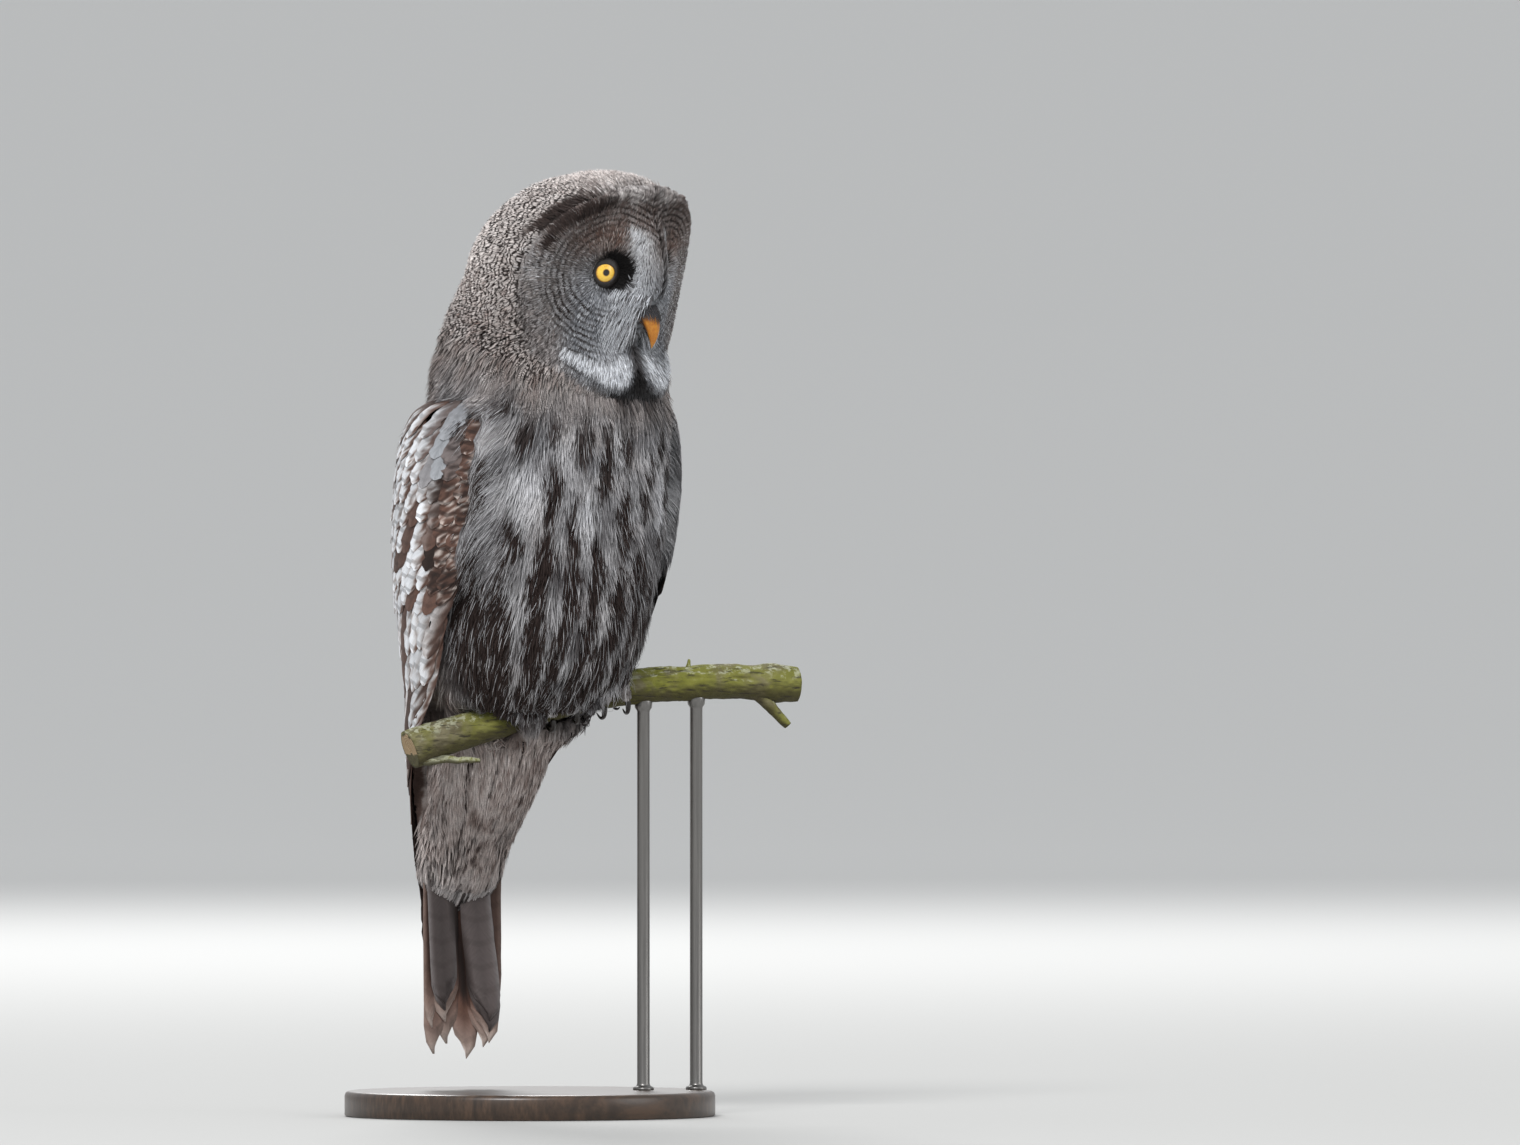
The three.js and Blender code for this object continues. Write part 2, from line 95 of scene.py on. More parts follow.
# Smooth values between slices listed by height, as the solids have them.
def smoothSlices(rows):
    table = np.array(sorted(rows), float)
    levels, values = table[:, 0], table[:, 1:]

    def at(z):
        wanted = np.clip(np.asarray(z, float), levels[0], levels[-1])
        k = np.clip(np.searchsorted(levels, wanted, side="right") - 1, 0, len(levels) - 2)
        a, d = np.maximum(k - 1, 0), np.minimum(k + 2, len(levels) - 1)
        span = (levels[k + 1] - levels[k])[..., None]
        t = (wanted - levels[k])[..., None] / span
        enter = (values[k + 1] - values[a]) / (levels[k + 1] - levels[a])[..., None] * span
        leave = (values[d] - values[k]) / (levels[d] - levels[k])[..., None] * span
        t2, t3 = t * t, t * t * t
        found = (2 * t3 - 3 * t2 + 1) * values[k] + (t3 - 2 * t2 + t) * enter
        found = found + (3 * t2 - 2 * t3) * values[k + 1] + (t3 - t2) * leave
        return np.moveaxis(found, -1, 0)
    return at


# How near a place lies to a bent line of (x, y, half width) points: 1 on the line, 0 outside it.
def nearLine(x, y, line, soft=0.45):
    best = np.zeros(np.shape(x))
    for (ax, ay, aw), (bx, by, bw) in zip(line, line[1:]):
        long = (bx - ax) ** 2 + (by - ay) ** 2
        t = np.clip(((x - ax) * (bx - ax) + (y - ay) * (by - ay)) / long, 0, 1)
        away = np.hypot(x - mix(ax, bx, t), y - mix(ay, by, t)) / mix(aw, bw, t)
        best = np.maximum(best, 1 - smoothStep(1 - soft, 1 + soft, away))
    return best


# Camera, lights and floor

shot = {
    "azimuth": -38, "distance": 14.0, "lens": 465.7, "sensor": 36,
    "across": 0.1638, "height": 0.387,  # where the picture's middle lies, to the right and up
}
studio = {
    # each lamp's place, size and power
    "key": (-5.6, -4.2, 6.0, 2.6, 520), "fill": (4.4, -7.0, 2.6, 4.5, 120), "rim": (3.6, 6.0, 5.2, 3.0, 340),
    "sky": (0.96, 0.98, 1.0), "skyStrength": 0.62,
    # the floor is painted darker near the model, where the lamps light it most: painted shade that evens out
    # their light
    "shadedNearFloor": (0.50, 0.50, 0.49), "farFloor": (0.80, 0.80, 0.79), "floorTurns": (0.5, 13),
    # how the floor curves up into a wall, far outside every view of the model: distance and height
    "bowl": [
        (0.002, 0), (6, 0), (10, 0), (14, 0.02), (18, 0.12), (22, 0.35), (27, 0.9), (32, 2.1), (36, 4),
        (39, 6),
    ],
}


def makeCamera():
    turn = math.radians(shot["azimuth"])
    ahead = Vector((-math.sin(turn), math.cos(turn), 0))
    right = Vector((math.cos(turn), math.sin(turn), 0))
    camera = bpy.data.objects.new("camera", bpy.data.cameras.new("camera"))
    camera.data.lens = shot["lens"]
    camera.data.sensor_width = shot["sensor"]
    camera.data.clip_end = 200
    camera.location = right * shot["across"] + Vector((0, 0, shot["height"])) - ahead * shot["distance"]
    camera.rotation_euler = (math.pi / 2, 0, turn)
    bpy.context.scene.collection.objects.link(camera)
    bpy.context.scene.camera = camera


def makeLights():
    for name in ("key", "fill", "rim"):
        x, y, z, size, power = studio[name]
        lamp = bpy.data.objects.new(name, bpy.data.lights.new(name, "AREA"))
        lamp.data.shape = "DISK"
        lamp.data.size = size
        lamp.data.energy = power
        lamp.location = (x, y, z)
        lamp.rotation_euler = (Vector((0, 0, 0.4)) - lamp.location).to_track_quat("-Z", "Y").to_euler()
        bpy.context.scene.collection.objects.link(lamp)
    world = bpy.data.worlds.new("studio")
    world.use_nodes = True
    sky = world.node_tree.nodes["Background"]
    sky.inputs["Color"].default_value = (*studio["sky"], 1)
    sky.inputs["Strength"].default_value = studio["skyStrength"]
    bpy.context.scene.world = world
    bpy.context.scene.view_settings.view_transform = "Standard"


makeCamera()
makeLights()
print("camera and lights are set")


# Material helpers

def startMaterial(name, **sockets):
    material = bpy.data.materials.new(name)
    material.use_nodes = True
    tree = material.node_tree
    shader = tree.nodes["Principled BSDF"]
    for socket, value in sockets.items():
        shader.inputs[socket.replace("_", " ")].default_value = value
    return material, tree, shader


def put(tree, kind, inputs=None, **settings):
    node = tree.nodes.new(kind)
    for name, value in settings.items():
        setattr(node, name, value)
    for key, value in (inputs or {}).items():
        if isinstance(value, bpy.types.NodeSocket):
            tree.links.new(value, node.inputs[key])
        else:
            node.inputs[key].default_value = value
    return node


def maths(tree, operation, *values):
    return put(tree, "ShaderNodeMath", dict(enumerate(values)), operation=operation).outputs[0]


def times(tree, a, b):
    return maths(tree, "MULTIPLY", a, b)


def eased(tree, value, low, high, start=0.0, end=1.0):
    inputs = {"Value": value, "From Min": low, "From Max": high, "To Min": start, "To Max": end}
    return put(tree, "ShaderNodeMapRange", inputs, interpolation_type="SMOOTHSTEP").outputs[0]


def blended(tree, share, a, b):
    a, b = ((*colour, 1) if isinstance(colour, tuple) else colour for colour in (a, b))
    return put(tree, "ShaderNodeMix", {0: share, 6: a, 7: b}, data_type="RGBA").outputs[2]


def noiseOf(tree, vector, scale, detail=2.0, rough=0.55):
    inputs = {"Vector": vector, "Scale": scale, "Detail": detail, "Roughness": rough}
    return put(tree, "ShaderNodeTexNoise", inputs).outputs["Fac"]


def stretched(tree, vector, scale):
    return put(tree, "ShaderNodeMapping", {"Vector": vector, "Scale": scale}).outputs[0]


def objectPlace(tree):
    return put(tree, "ShaderNodeTexCoord").outputs["Object"]


def attribute(tree, name):
    return put(tree, "ShaderNodeAttribute", attribute_name=name, attribute_type="GEOMETRY")


# The first three parts of a colour attribute.
def partsOf(tree, layer):
    return put(tree, "ShaderNodeSeparateColor", {0: layer.outputs["Color"]}).outputs


def coloured(tree, shader, colour):
    tree.links.new(colour, shader.inputs["Base Color"])


def bumped(tree, shader, height, strength, distance):
    inputs = {"Height": height, "Strength": strength, "Distance": distance}
    tree.links.new(put(tree, "ShaderNodeBump", inputs).outputs[0], shader.inputs["Normal"])


def smoothMesh(mesh):
    mesh.polygons.foreach_set("use_smooth", np.ones(len(mesh.polygons), bool))


def meshFrom(shape, name):
    mesh = bpy.data.meshes.new(name)
    shape.to_mesh(mesh)
    shape.free()
    return mesh


# A profile of (radius, height) points turned once round the upright axis.
def spunShape(profile, steps):
    shape = bmesh.new()
    points = [shape.verts.new((r, 0, z)) for r, z in profile]
    lines = [shape.edges.new(pair) for pair in zip(points, points[1:])]
    wholeTurn = {"cent": (0, 0, 0), "axis": (0, 0, 1), "angle": 2 * math.pi}
    bmesh.ops.spin(shape, geom=points + lines, steps=steps, use_merge=True, **wholeTurn)
    return shape


def makeFloor():
    bowl = spunShape(studio["bowl"], 128)
    bmesh.ops.recalc_face_normals(bowl, faces=bowl.faces)
    mesh = meshFrom(bowl, "floor")
    smoothMesh(mesh)
    floor = bpy.data.objects.new("floor", mesh)
    bpy.context.scene.collection.objects.link(floor)
    material, tree, shader = startMaterial("paleFloor", Roughness=0.85)
    # painted shade: darker near the middle, paler further out
    reach = put(tree, "ShaderNodeVectorMath", {0: objectPlace(tree)}, operation="LENGTH").outputs["Value"]
    further = eased(tree, reach, *studio["floorTurns"])
    colour = blended(tree, further, studio["shadedNearFloor"], studio["farFloor"])
    coloured(tree, shader, colour)
    mesh.materials.append(material)


makeFloor()


# Plumage colours. The layer marks holds how dark, pale, warm and black a place is,
# and the layer fine holds its bars, their strength, a shade, which carries painted shade and each strand's
# own tone, and how cool it is.

plumage = {
    "grey": (0.230, 0.205, 0.195), "dark": (0.022, 0.013, 0.011), "pale": (0.80, 0.82, 0.86),
    # beige is the crown's own colour, brightened as painted light from above
    "beige": (0.90, 0.78, 0.71), "warm": (0.165, 0.082, 0.058), "black": (0.004, 0.003, 0.003),
    "bar": (0.022, 0.014, 0.012), "cool": (0.225, 0.262, 0.310),
}


def plumageMaterial(name, barLow=0.0, barHigh=0.62, sharp=0.0, vaned=False):
    material, tree, shader = startMaterial(name, Roughness=0.78, Sheen_Weight=0.04, Sheen_Roughness=0.5)
    shader.inputs["Specular IOR Level"].default_value = 0.25
    marks, fine = attribute(tree, "marks"), attribute(tree, "fine")
    dark, pale, warm = partsOf(tree, marks)
    bars, barShare, shade = partsOf(tree, fine)
    if sharp:
        dark, pale, warm = (eased(tree, one, 0.5 - sharp, 0.5 + sharp) for one in (dark, pale, warm))
    wave = maths(tree, "SINE", times(tree, bars, 2 * math.pi))
    bar = times(tree, eased(tree, wave, barLow, barHigh), barShare)
    colour = blended(tree, fine.outputs["Alpha"], plumage["grey"], plumage["cool"])
    colour = blended(tree, warm, colour, plumage["warm"])
    colour = blended(tree, pale, colour, blended(tree, warm, plumage["pale"], plumage["beige"]))
    colour = blended(tree, dark, colour, plumage["dark"])
    colour = blended(tree, bar, colour, plumage["bar"])
    colour = blended(tree, marks.outputs["Alpha"], colour, plumage["black"])
    if vaned:  # fine barbs that slant away from the shaft
        x, y, number = partsOf(tree, attribute(tree, "web"))
        slant = maths(tree, "SUBTRACT", y, times(tree, maths(tree, "ABSOLUTE", x), 1.1))
        barbs = put(tree, "ShaderNodeCombineXYZ", {0: times(tree, x, 0.12), 1: slant, 2: number})
        lumps = noiseOf(tree, barbs.outputs[0], 1.9, 3)
    else:
        lumps = noiseOf(tree, objectPlace(tree), 900, 3)
    tone = times(tree, shade, eased(tree, lumps, 0.25, 0.75, 0.82, 1.16))
    scaled = put(tree, "ShaderNodeVectorMath", {0: colour, "Scale": tone}, operation="SCALE").outputs[0]
    coloured(tree, shader, scaled)
    bumped(tree, shader, lumps, 0.35, 0.0006)
    return material


coatLook = plumageMaterial("softPlumage")
vaneLook = plumageMaterial("vanePlumage", barLow=0.5, barHigh=0.9, sharp=0.42, vaned=True)


# Mesh helpers

def addPiece(name, mesh, material, replaced=()):
    piece = bpy.data.objects.new(name, mesh)
    bpy.context.scene.collection.objects.link(piece)
    mesh.materials.clear()
    mesh.materials.append(material)
    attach(piece, "root")
    if replaced:
        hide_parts(*replaced)
    return piece


def setColours(mesh, **layers):
    for name, values in layers.items():
        layer = mesh.attributes.new(name, "FLOAT_COLOR", "POINT")
        layer.data.foreach_set("color", np.ascontiguousarray(values, np.float32).ravel())


def placesOf(mesh):
    found = np.empty(len(mesh.vertices) * 3, np.float32)
    mesh.vertices.foreach_get("co", found)
    return found.reshape(-1, 3).astype(float)


def setPlaces(mesh, places):
    mesh.vertices.foreach_set("co", np.ascontiguousarray(places, np.float32).ravel())
    mesh.update()


def normalsOf(mesh):
    found = np.empty(len(mesh.vertices) * 3, np.float32)
    mesh.vertex_normals.foreach_get("vector", found)
    return found.reshape(-1, 3).astype(float)


def trianglesOf(mesh):
    mesh.calc_loop_triangles()
    found = np.empty(len(mesh.loop_triangles) * 3, np.int32)
    mesh.loop_triangles.foreach_get("vertices", found)
    return found.reshape(-1, 3)


# A mesh from arrays: one small template of faces is repeated for every feather or strand.
def repeatedMesh(name, verts, faces, patches, marks, fine, **layers):
    count, each = verts.shape[:2]
    sizes = np.array([len(face) for face in faces])
    corners = np.concatenate(faces)
    loops = (np.arange(count)[:, None] * each + corners[None, :]).ravel()
    starts = np.concatenate([[0], np.cumsum(np.tile(sizes, count))[:-1]])
    mesh = bpy.data.meshes.new(name)
    mesh.vertices.add(count * each)
    mesh.vertices.foreach_set("co", (verts * mm).astype(np.float32).ravel())
    mesh.loops.add(len(loops))
    mesh.loops.foreach_set("vertex_index", loops.astype(np.int32))
    mesh.polygons.add(len(sizes) * count)
    mesh.polygons.foreach_set("loop_start", starts.astype(np.int32))
    mesh.update(calc_edges=True)
    smoothMesh(mesh)
    layer = mesh.uv_layers.new(name="OFBake", do_init=False)
    layer.data.foreach_set("uv", patches[:, corners].astype(np.float32).ravel())
    layers = {"marks": marks, "fine": fine, **layers}
    setColours(mesh, **{layer: values.reshape(-1, 4) for layer, values in layers.items()})
    return mesh


# Head frame, face outline and the folded wing's shell, as in the solids

head = {"origin": (4, -37, 600), "turn": 12, "nod": 15}
face = {
    "halfWidth": 82, "up": 77, "down": 72, "middleUp": 6, "corner": 2.45, "eyeSide": 27, "eyeUp": 15,
    "front": 70, "sweep": 33, "sweepPower": 2.6, "topSlope": 7, "topFrom": 10,
    "ridge": 22, "ridgeWidth": 14, "ridgeUp": 12, "ridgeTall": 40,
}
headTurn = np.array(
    Matrix.Rotation(math.radians(head["turn"]), 3, "Z") @ Matrix.Rotation(math.radians(head["nod"]), 3, "X")
)


def headWay(side, front, rise):
    local = np.stack(np.broadcast_arrays(np.asarray(side, float), -np.asarray(front, float), rise), -1)
    return local @ headTurn.T


def fromHead(side, front, rise):
    return headWay(side, front, rise) + np.array(head["origin"])


def toHead(points):
    local = (points - np.array(head["origin"])) @ headTurn
    return local[:, 0], -local[:, 1], local[:, 2]


def faceShare(side, rise):
    tall = np.where(rise > face["middleUp"], face["up"], face["down"])
    across = np.abs(side / face["halfWidth"]) ** face["corner"]
    return (across + np.abs((rise - face["middleUp"]) / tall) ** face["corner"]) ** (1 / face["corner"])


def faceFront(side, rise):
    top = np.clip((rise - face["topFrom"]) / (face["up"] + face["middleUp"] - face["topFrom"]), 0, 1.3)
    swept = face["sweep"] * np.abs(side / face["halfWidth"]) ** face["sweepPower"]
    ridge = bell(side, face["ridgeWidth"]) * bell(rise - face["ridgeUp"], face["ridgeTall"])
    return face["front"] - swept - face["topSlope"] * top ** 2 + face["ridge"] * ridge


# z, half width, middle, depth, and the angles of the front and back edges
wingAt = smoothSlices([
    (514, 78, -22, 84, 16, -14), (500, 92, -16, 94, 25, -34), (470, 99, -12, 101, 26, -52),
    (438, 101, -9, 102, 25, -62), (400, 99, -5, 101, 22, -70), (367, 95, -2, 98, 14, -76),
    (335, 88, 1, 96, 5, -81), (303, 79, 8, 90, -3, -84), (262, 67, 36, 63, -14, -84),
    (210, 57, 49, 51, -35, -82), (160, 52, 51, 50, -46, -74), (122, 50, 52, 49, -52, -64),
])


def wingPlace(side, angle, z, out):
    half, middle, depth = wingAt(z)[:3]
    turn = np.radians(angle)
    return np.stack([side * (half + out) * np.cos(turn), middle - (depth + out) * np.sin(turn), z], -1)


# One skin under the plumage

fleshNodes = ["head", "neck", "trunk", "tail", "leg_left", "leg_right", "wing_left", "wing_right"]
filledNodes = ["eye_left", "eye_right", "bill"]  # these only close the skin's holes
skinSizes = {
    "firstVoxel": 3.0, "lastVoxel": 2.6, "cutZ": 163,
    "face": 3.4, "skull": 5.5, "neck": 8, "trunk": 9, "undertail": 5, "wing": 2.4, "slab": 1.2, "leg": 1.8,
}


def solidArrays(names):
    verts, tris, owner, start = [], [], [], 0
    for index, name in enumerate(names):
        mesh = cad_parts[name].data
        places = placesOf(mesh) / mm
        faces = trianglesOf(mesh)
        verts.append(places)
        tris.append(faces + start)
        owner.append(np.full(len(faces), index))
        start += len(places)
    return np.concatenate(verts), np.concatenate(tris), np.concatenate(owner)


solidNames = fleshNodes + filledNodes
solidVerts, solidTris, solidOwner = solidArrays(solidNames)
solidTree = BVHTree.FromPolygons(solidVerts.tolist(), solidTris.tolist())


# The name's place in solidNames of the solid that lies nearest to each point.
def ownerOf(points):
    return solidOwner[np.array([solidTree.find_nearest(p)[2] for p in points.tolist()])]


def ownedBy(points, *names):
    return np.isin(ownerOf(points), [solidNames.index(name) for name in names])


# A copy of a mesh with one modifier applied.
def finished(mesh, kind, **settings):
    helper = bpy.data.objects.new("helper", mesh)
    bpy.context.scene.collection.objects.link(helper)
    modifier = helper.modifiers.new("made", kind)
    for name, value in settings.items():
        setattr(modifier, name, value)
    bpy.context.view_layer.update()
    made = bpy.data.meshes.new_from_object(helper.evaluated_get(bpy.context.evaluated_depsgraph_get()))
    bpy.data.objects.remove(helper)
    return made


def edgeEnds(mesh):
    edges = np.empty(len(mesh.edges) * 2, np.int32)
    mesh.edges.foreach_get("vertices", edges)
    return edges.reshape(-1, 2).T


def softened(shape, rounds):
    for _ in range(rounds):
        bmesh.ops.smooth_vert(
            shape, verts=shape.verts, factor=0.5, use_axis_x=True, use_axis_y=True, use_axis_z=True
        )


def opened(mesh):
    shape = bmesh.new()
    shape.from_mesh(mesh)
    return shape


def closeInto(mesh, shape):
    shape.to_mesh(mesh)
    shape.free()


def largestPart(mesh):
    a, b = edgeEnds(mesh)
    part = np.arange(len(mesh.vertices))
    while True:
        lowest = part.copy()
        np.minimum.at(lowest, a, part[b])
        np.minimum.at(lowest, b, part[a])
        lowest = lowest[lowest]
        if (lowest == part).all():
            break
        part = lowest
    names, counts = np.unique(part, return_counts=True)
    kept = part == names[counts.argmax()]
    whole = opened(mesh)
    loose = [vert for vert, keep in zip(whole.verts, kept) if not keep]
    bmesh.ops.delete(whole, geom=loose, context="VERTS")
    closeInto(mesh, whole)
    return mesh


def skinDepth(places):
    owner = ownerOf(places)
    side, front, rise = toHead(places)
    isFace = smoothStep(8, 34, front)
    ridge = bell(side, 13) * smoothStep(-10, 4, rise) * smoothStep(50, 70, front)
    depths = {
        "head": mix(mix(skinSizes["skull"], skinSizes["face"], isFace), 0.9, ridge),
        "neck": skinSizes["neck"], "trunk": skinSizes["trunk"],
        "tail": mix(skinSizes["undertail"], skinSizes["slab"], smoothStep(72, 79, places[:, 1])),
        "leg": skinSizes["leg"], "wing": skinSizes["wing"], "eye": skinSizes["face"], "bill": 4.5,
    }
    depth = np.zeros(len(places))
    for index, name in enumerate(solidNames):
        depth = np.where(owner == index, depths[name.split("_")[0]], depth)
    return depth


# Values at the points, each one drawn towards its neighbours' mean.
def evened(mesh, values, rounds):
    a, b = edgeEnds(mesh)
    around = np.bincount(a, minlength=len(values)) + np.bincount(b, minlength=len(values))
    for _ in range(rounds):
        total = np.bincount(a, values[b], len(values)) + np.bincount(b, values[a], len(values))
        values = 0.5 * values + 0.5 * total / np.maximum(around, 1)
    return values


def makeSkinMesh():
    joined = bmesh.new()
    for name in solidNames:
        joined.from_mesh(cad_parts[name].data)
    bmesh.ops.remove_doubles(joined, verts=joined.verts, dist=0.00002)
    mesh = meshFrom(joined, "skin")
    mesh = finished(mesh, "REMESH", mode="VOXEL", voxel_size=skinSizes["firstVoxel"] * mm)
    mesh = largestPart(mesh)
    places = placesOf(mesh) / mm
    depth = evened(mesh, skinDepth(places), 5)
    setPlaces(mesh, (places - normalsOf(mesh) * depth[:, None]) * mm)
    cut = opened(mesh)
    geometry = cut.verts[:] + cut.edges[:] + cut.faces[:]
    level = (0, 0, skinSizes["cutZ"] * mm)
    bmesh.ops.bisect_plane(cut, geom=geometry, plane_co=level, plane_no=(0, 0, -1), clear_outer=True)
    bmesh.ops.holes_fill(cut, edges=[edge for edge in cut.edges if edge.is_boundary])
    softened(cut, 1)
    closeInto(mesh, cut)
    mesh = finished(mesh, "REMESH", mode="VOXEL", voxel_size=skinSizes["lastVoxel"] * mm)
    mesh = largestPart(mesh)
    soft = opened(mesh)
    softened(soft, 3)
    closeInto(mesh, soft)
    smoothMesh(mesh)
    return mesh


skinMesh = makeSkinMesh()
skinPlaces = placesOf(skinMesh) / mm
skinTris = trianglesOf(skinMesh)
skinNormals = unit(normalsOf(skinMesh)[skinTris].mean(1))
skinTree = BVHTree.FromPolygons(skinPlaces.tolist(), skinTris.tolist())
print("skin has", len(skinPlaces), "points")


# The skin's nearest points and its directions there.
def onSkin(points):
    found = [skinTree.find_nearest(p) for p in points.tolist()]
    places = np.array([(f[0].x, f[0].y, f[0].z) for f in found])
    return places, skinNormals[np.array([f[2] for f in found])]


# Rays from outside: where each meets the skin, the skin's direction there, and which rays met it.
def castOn(starts, ways):
    found = [skinTree.ray_cast(s, w) for s, w in zip(starts.tolist(), unit(ways).tolist())]
    met = np.array([f[0] is not None for f in found])
    places = np.array([(f[0].x, f[0].y, f[0].z) for f in found if f[0] is not None])
    return places, skinNormals[np.array([f[2] for f in found if f[0] is not None])], met


# Rays towards an upright axis, from all round it.
def castRound(turn, z, middleY, distance=260):
    ways = np.stack([np.sin(turn), -np.cos(turn), 0 * turn], -1)
    axis = np.stack([0 * z, np.full(len(z), middleY), z], -1)
    return castOn(axis + ways * distance, -ways)


# Rays from straight before the face.
def castFace(side, rise):
    starts = fromHead(side, 160, rise)
    return castOn(starts, np.broadcast_to(headWay(0, -1, 0), starts.shape))


# The level direction that leads round the body, away from the breast's middle.
def roundBody(turn, sign):
    return np.stack([np.cos(turn), np.sin(turn), np.zeros(len(turn))], -1) * sign


# Noise in each of the three directions, which makes neighbouring strands lie alike.
def lockNoise(points, size, seed):
    return np.stack([softNoise(points, size, seed + k) for k in range(3)], -1)


# Markings: every function returns dark, pale, warm, black, bars, bar strength, shade, cool for points

faceMarks = {
    "ringPitch": 4.25, "ringStart": 16,
    # side, rise and half width along each mark, in the head's own frame
    "brow": [(16, 41, 4), (11, 35, 8), (9, 24, 8), (7.5, 10, 6.5), (9, -3, 6.5), (15, -14, 8)],
    "moustache": [
        (52, -39, 1.2), (45, -43, 2.4), (37, -46, 3.8), (27, -48.5, 6.6), (16, -48, 7.5), (9, -43, 5),
    ],
    "chin": [(0, -52, 4), (1, -60, 7), (9, -64, 5.5), (17, -65.5, 3.5), (23, -64, 2)],
    "patch": (25, 17, 13.5, 13.5),  # the black round the eye: its middle, and its half width and height
    "rimLine": [
        (14, 66, 1.5), (26, 65.5, 3.4), (38, 61.5, 4.6), (47, 57, 5), (60, 49, 5), (67.5, 40, 4), (72, 28, 2),
    ],
}


def headMarks(points):
    side, front, rise = toHead(points)
    away = np.abs(side)
    share = faceShare(side, rise)
    onFace = (1 - smoothStep(0.98, 1.04, share)) * smoothStep(-16, -10, front - faceFront(side, rise))
    rough = softNoise(points, 3.5, 3)
    lumps = softNoise(points, 13, 4)
    toEye = np.hypot(away - face["eyeSide"], rise - face["eyeUp"])
    turn = np.degrees(np.arctan2(rise - face["middleUp"], away))
    # the disc's rings, and the mottled bars of the crown behind it
    skull = np.hypot(away, rise - 4) * 0.5 - front
    ripple = 0.16 * softNoise(points, 8, 5) + 0.10 * rough
    rings = toEye / faceMarks["ringPitch"] + ripple
    outer = smoothStep(47, 62, toEye) * smoothStep(50, 62, away)
    mottles = skull / 4.4 + 0.8 * rough + 0.55 * softNoise(points, 7, 6)
    bars = np.where((onFace > 0.5) & (outer < 0.5 + 0.3 * rough), rings, mottles)
    faded = 1 - 0.25 * outer
    ringShare = smoothStep(faceMarks["ringStart"], faceMarks["ringStart"] + 9, toEye) * faded
    ringShare = ringShare * (0.66 + 0.30 * lumps + 0.50 * rough)
    barShare = mix(0.97 + 0.1 * rough, ringShare, onFace)
    upperFace = smoothStep(12, 50, rise)
    dark = onFace * (0.14 * (1 + lumps) + 0.20 * upperFace + 0.40 * outer * (0.6 + 0.8 * rough))
    dark = np.maximum(dark, (1 - onFace) * smoothStep(10, -50, rise) * (0.22 + 0.4 * rough))
    tan = bell(toEye - 18, 12) * smoothStep(4, 20, rise - face["eyeUp"]) * smoothStep(14, 28, away)
    warm = onFace * (0.45 * upperFace + 0.6 * tan)
    warm = np.maximum(warm, onFace * 0.30 * outer) + (1 - onFace) * 0.62
    lores = bell(away - 15, 11) * bell(rise + 11, 14) * smoothStep(30, 44, front)
    cool = onFace * np.maximum(0.6 * smoothStep(32, 0, rise) * (1 - outer) * smoothStep(62, 40, away), lores)
    # painted light: behind the disc the crown grows paler towards its top, as if lit from above
    pale = (1 - onFace) * (mix(0.62, 0.98, smoothStep(-30, 30, rise)) + 0.6 * rough + 0.16 * lumps)
    pale = pale + onFace * (0.14 + 0.30 * rough + 0.2 * outer) + 0.42 * lores
    nearRim = (1 - onFace) * smoothStep(-30, 30, front) * smoothStep(64, 40, rise)
    dark = np.maximum(dark, nearRim * 0.42 * (0.7 + 0.9 * rough))
    # the dark line round the disc's upper edge, and its broken lower edge
    rim = bell((share - 0.985) * 78, 4.2) * smoothStep(-24, -14, front - faceFront(side, rise))
    upper = nearLine(away, rise + 1.5 * rough, faceMarks["rimLine"], 0.35) * np.where(side > 0, 0.45, 1)
    upper = upper * smoothStep(-30, -20, front - faceFront(side, rise))
    lower = smoothStep(-8, -22, turn) * smoothStep(0, 20, front)
    dark = np.maximum(dark, upper * (0.96 + 0.1 * rough))
    pale, barShare = pale * (1 - 0.9 * upper), barShare * (1 - 0.7 * upper)
    # whitish tufts stand along the top of the disc
    frost = smoothStep(57, 70, rise + 5 * rough) * smoothStep(46, 26, away) * smoothStep(0, 20, front)
    pale, dark = np.maximum(pale, frost * (0.80 + 0.5 * rough)), dark * (1 - 0.8 * frost)
    barShare = barShare * (1 - 0.5 * frost)
    dark = np.maximum(dark, rim * lower * (0.45 + 0.55 * rough))
    pale = np.maximum(pale, rim * lower * smoothStep(0.0, 0.5, -rough) * 0.7)
    # the streaked ridge between the eyes
    ridgeWidth = 5.5 + 0.12 * np.clip(rise, 0, 90)
    ridge = smoothStep(-12, 14, rise) * bell(side, ridgeWidth) * smoothStep(30, 55, front)
    streak = 0.5 + 0.5 * np.sin(side * 1.35 + 2 * softNoise(points, 20, 7))
    dark = np.maximum(dark, ridge * (0.25 + 0.5 * streak))
    inFront = smoothStep(30, 44, front)
    brow = nearLine(away + 1.3 * rough, rise + 2 * rough, faceMarks["brow"], 0.6) * inFront
    brow = brow * mix(0.62, 1.0, smoothStep(2, 12, away))
    moustache = nearLine(away + 1.2 * rough, rise + 1.5 * rough, faceMarks["moustache"]) * inFront
    chin = nearLine(away, rise, faceMarks["chin"]) * inFront
    throat = bell(side, 5) * smoothStep(-24, -34, rise) * smoothStep(-74, -58, rise) * inFront
    clear = np.maximum(brow, moustache)
    pale = np.maximum(pale * (1 - chin), np.maximum(brow * 0.66, moustache * 0.80))
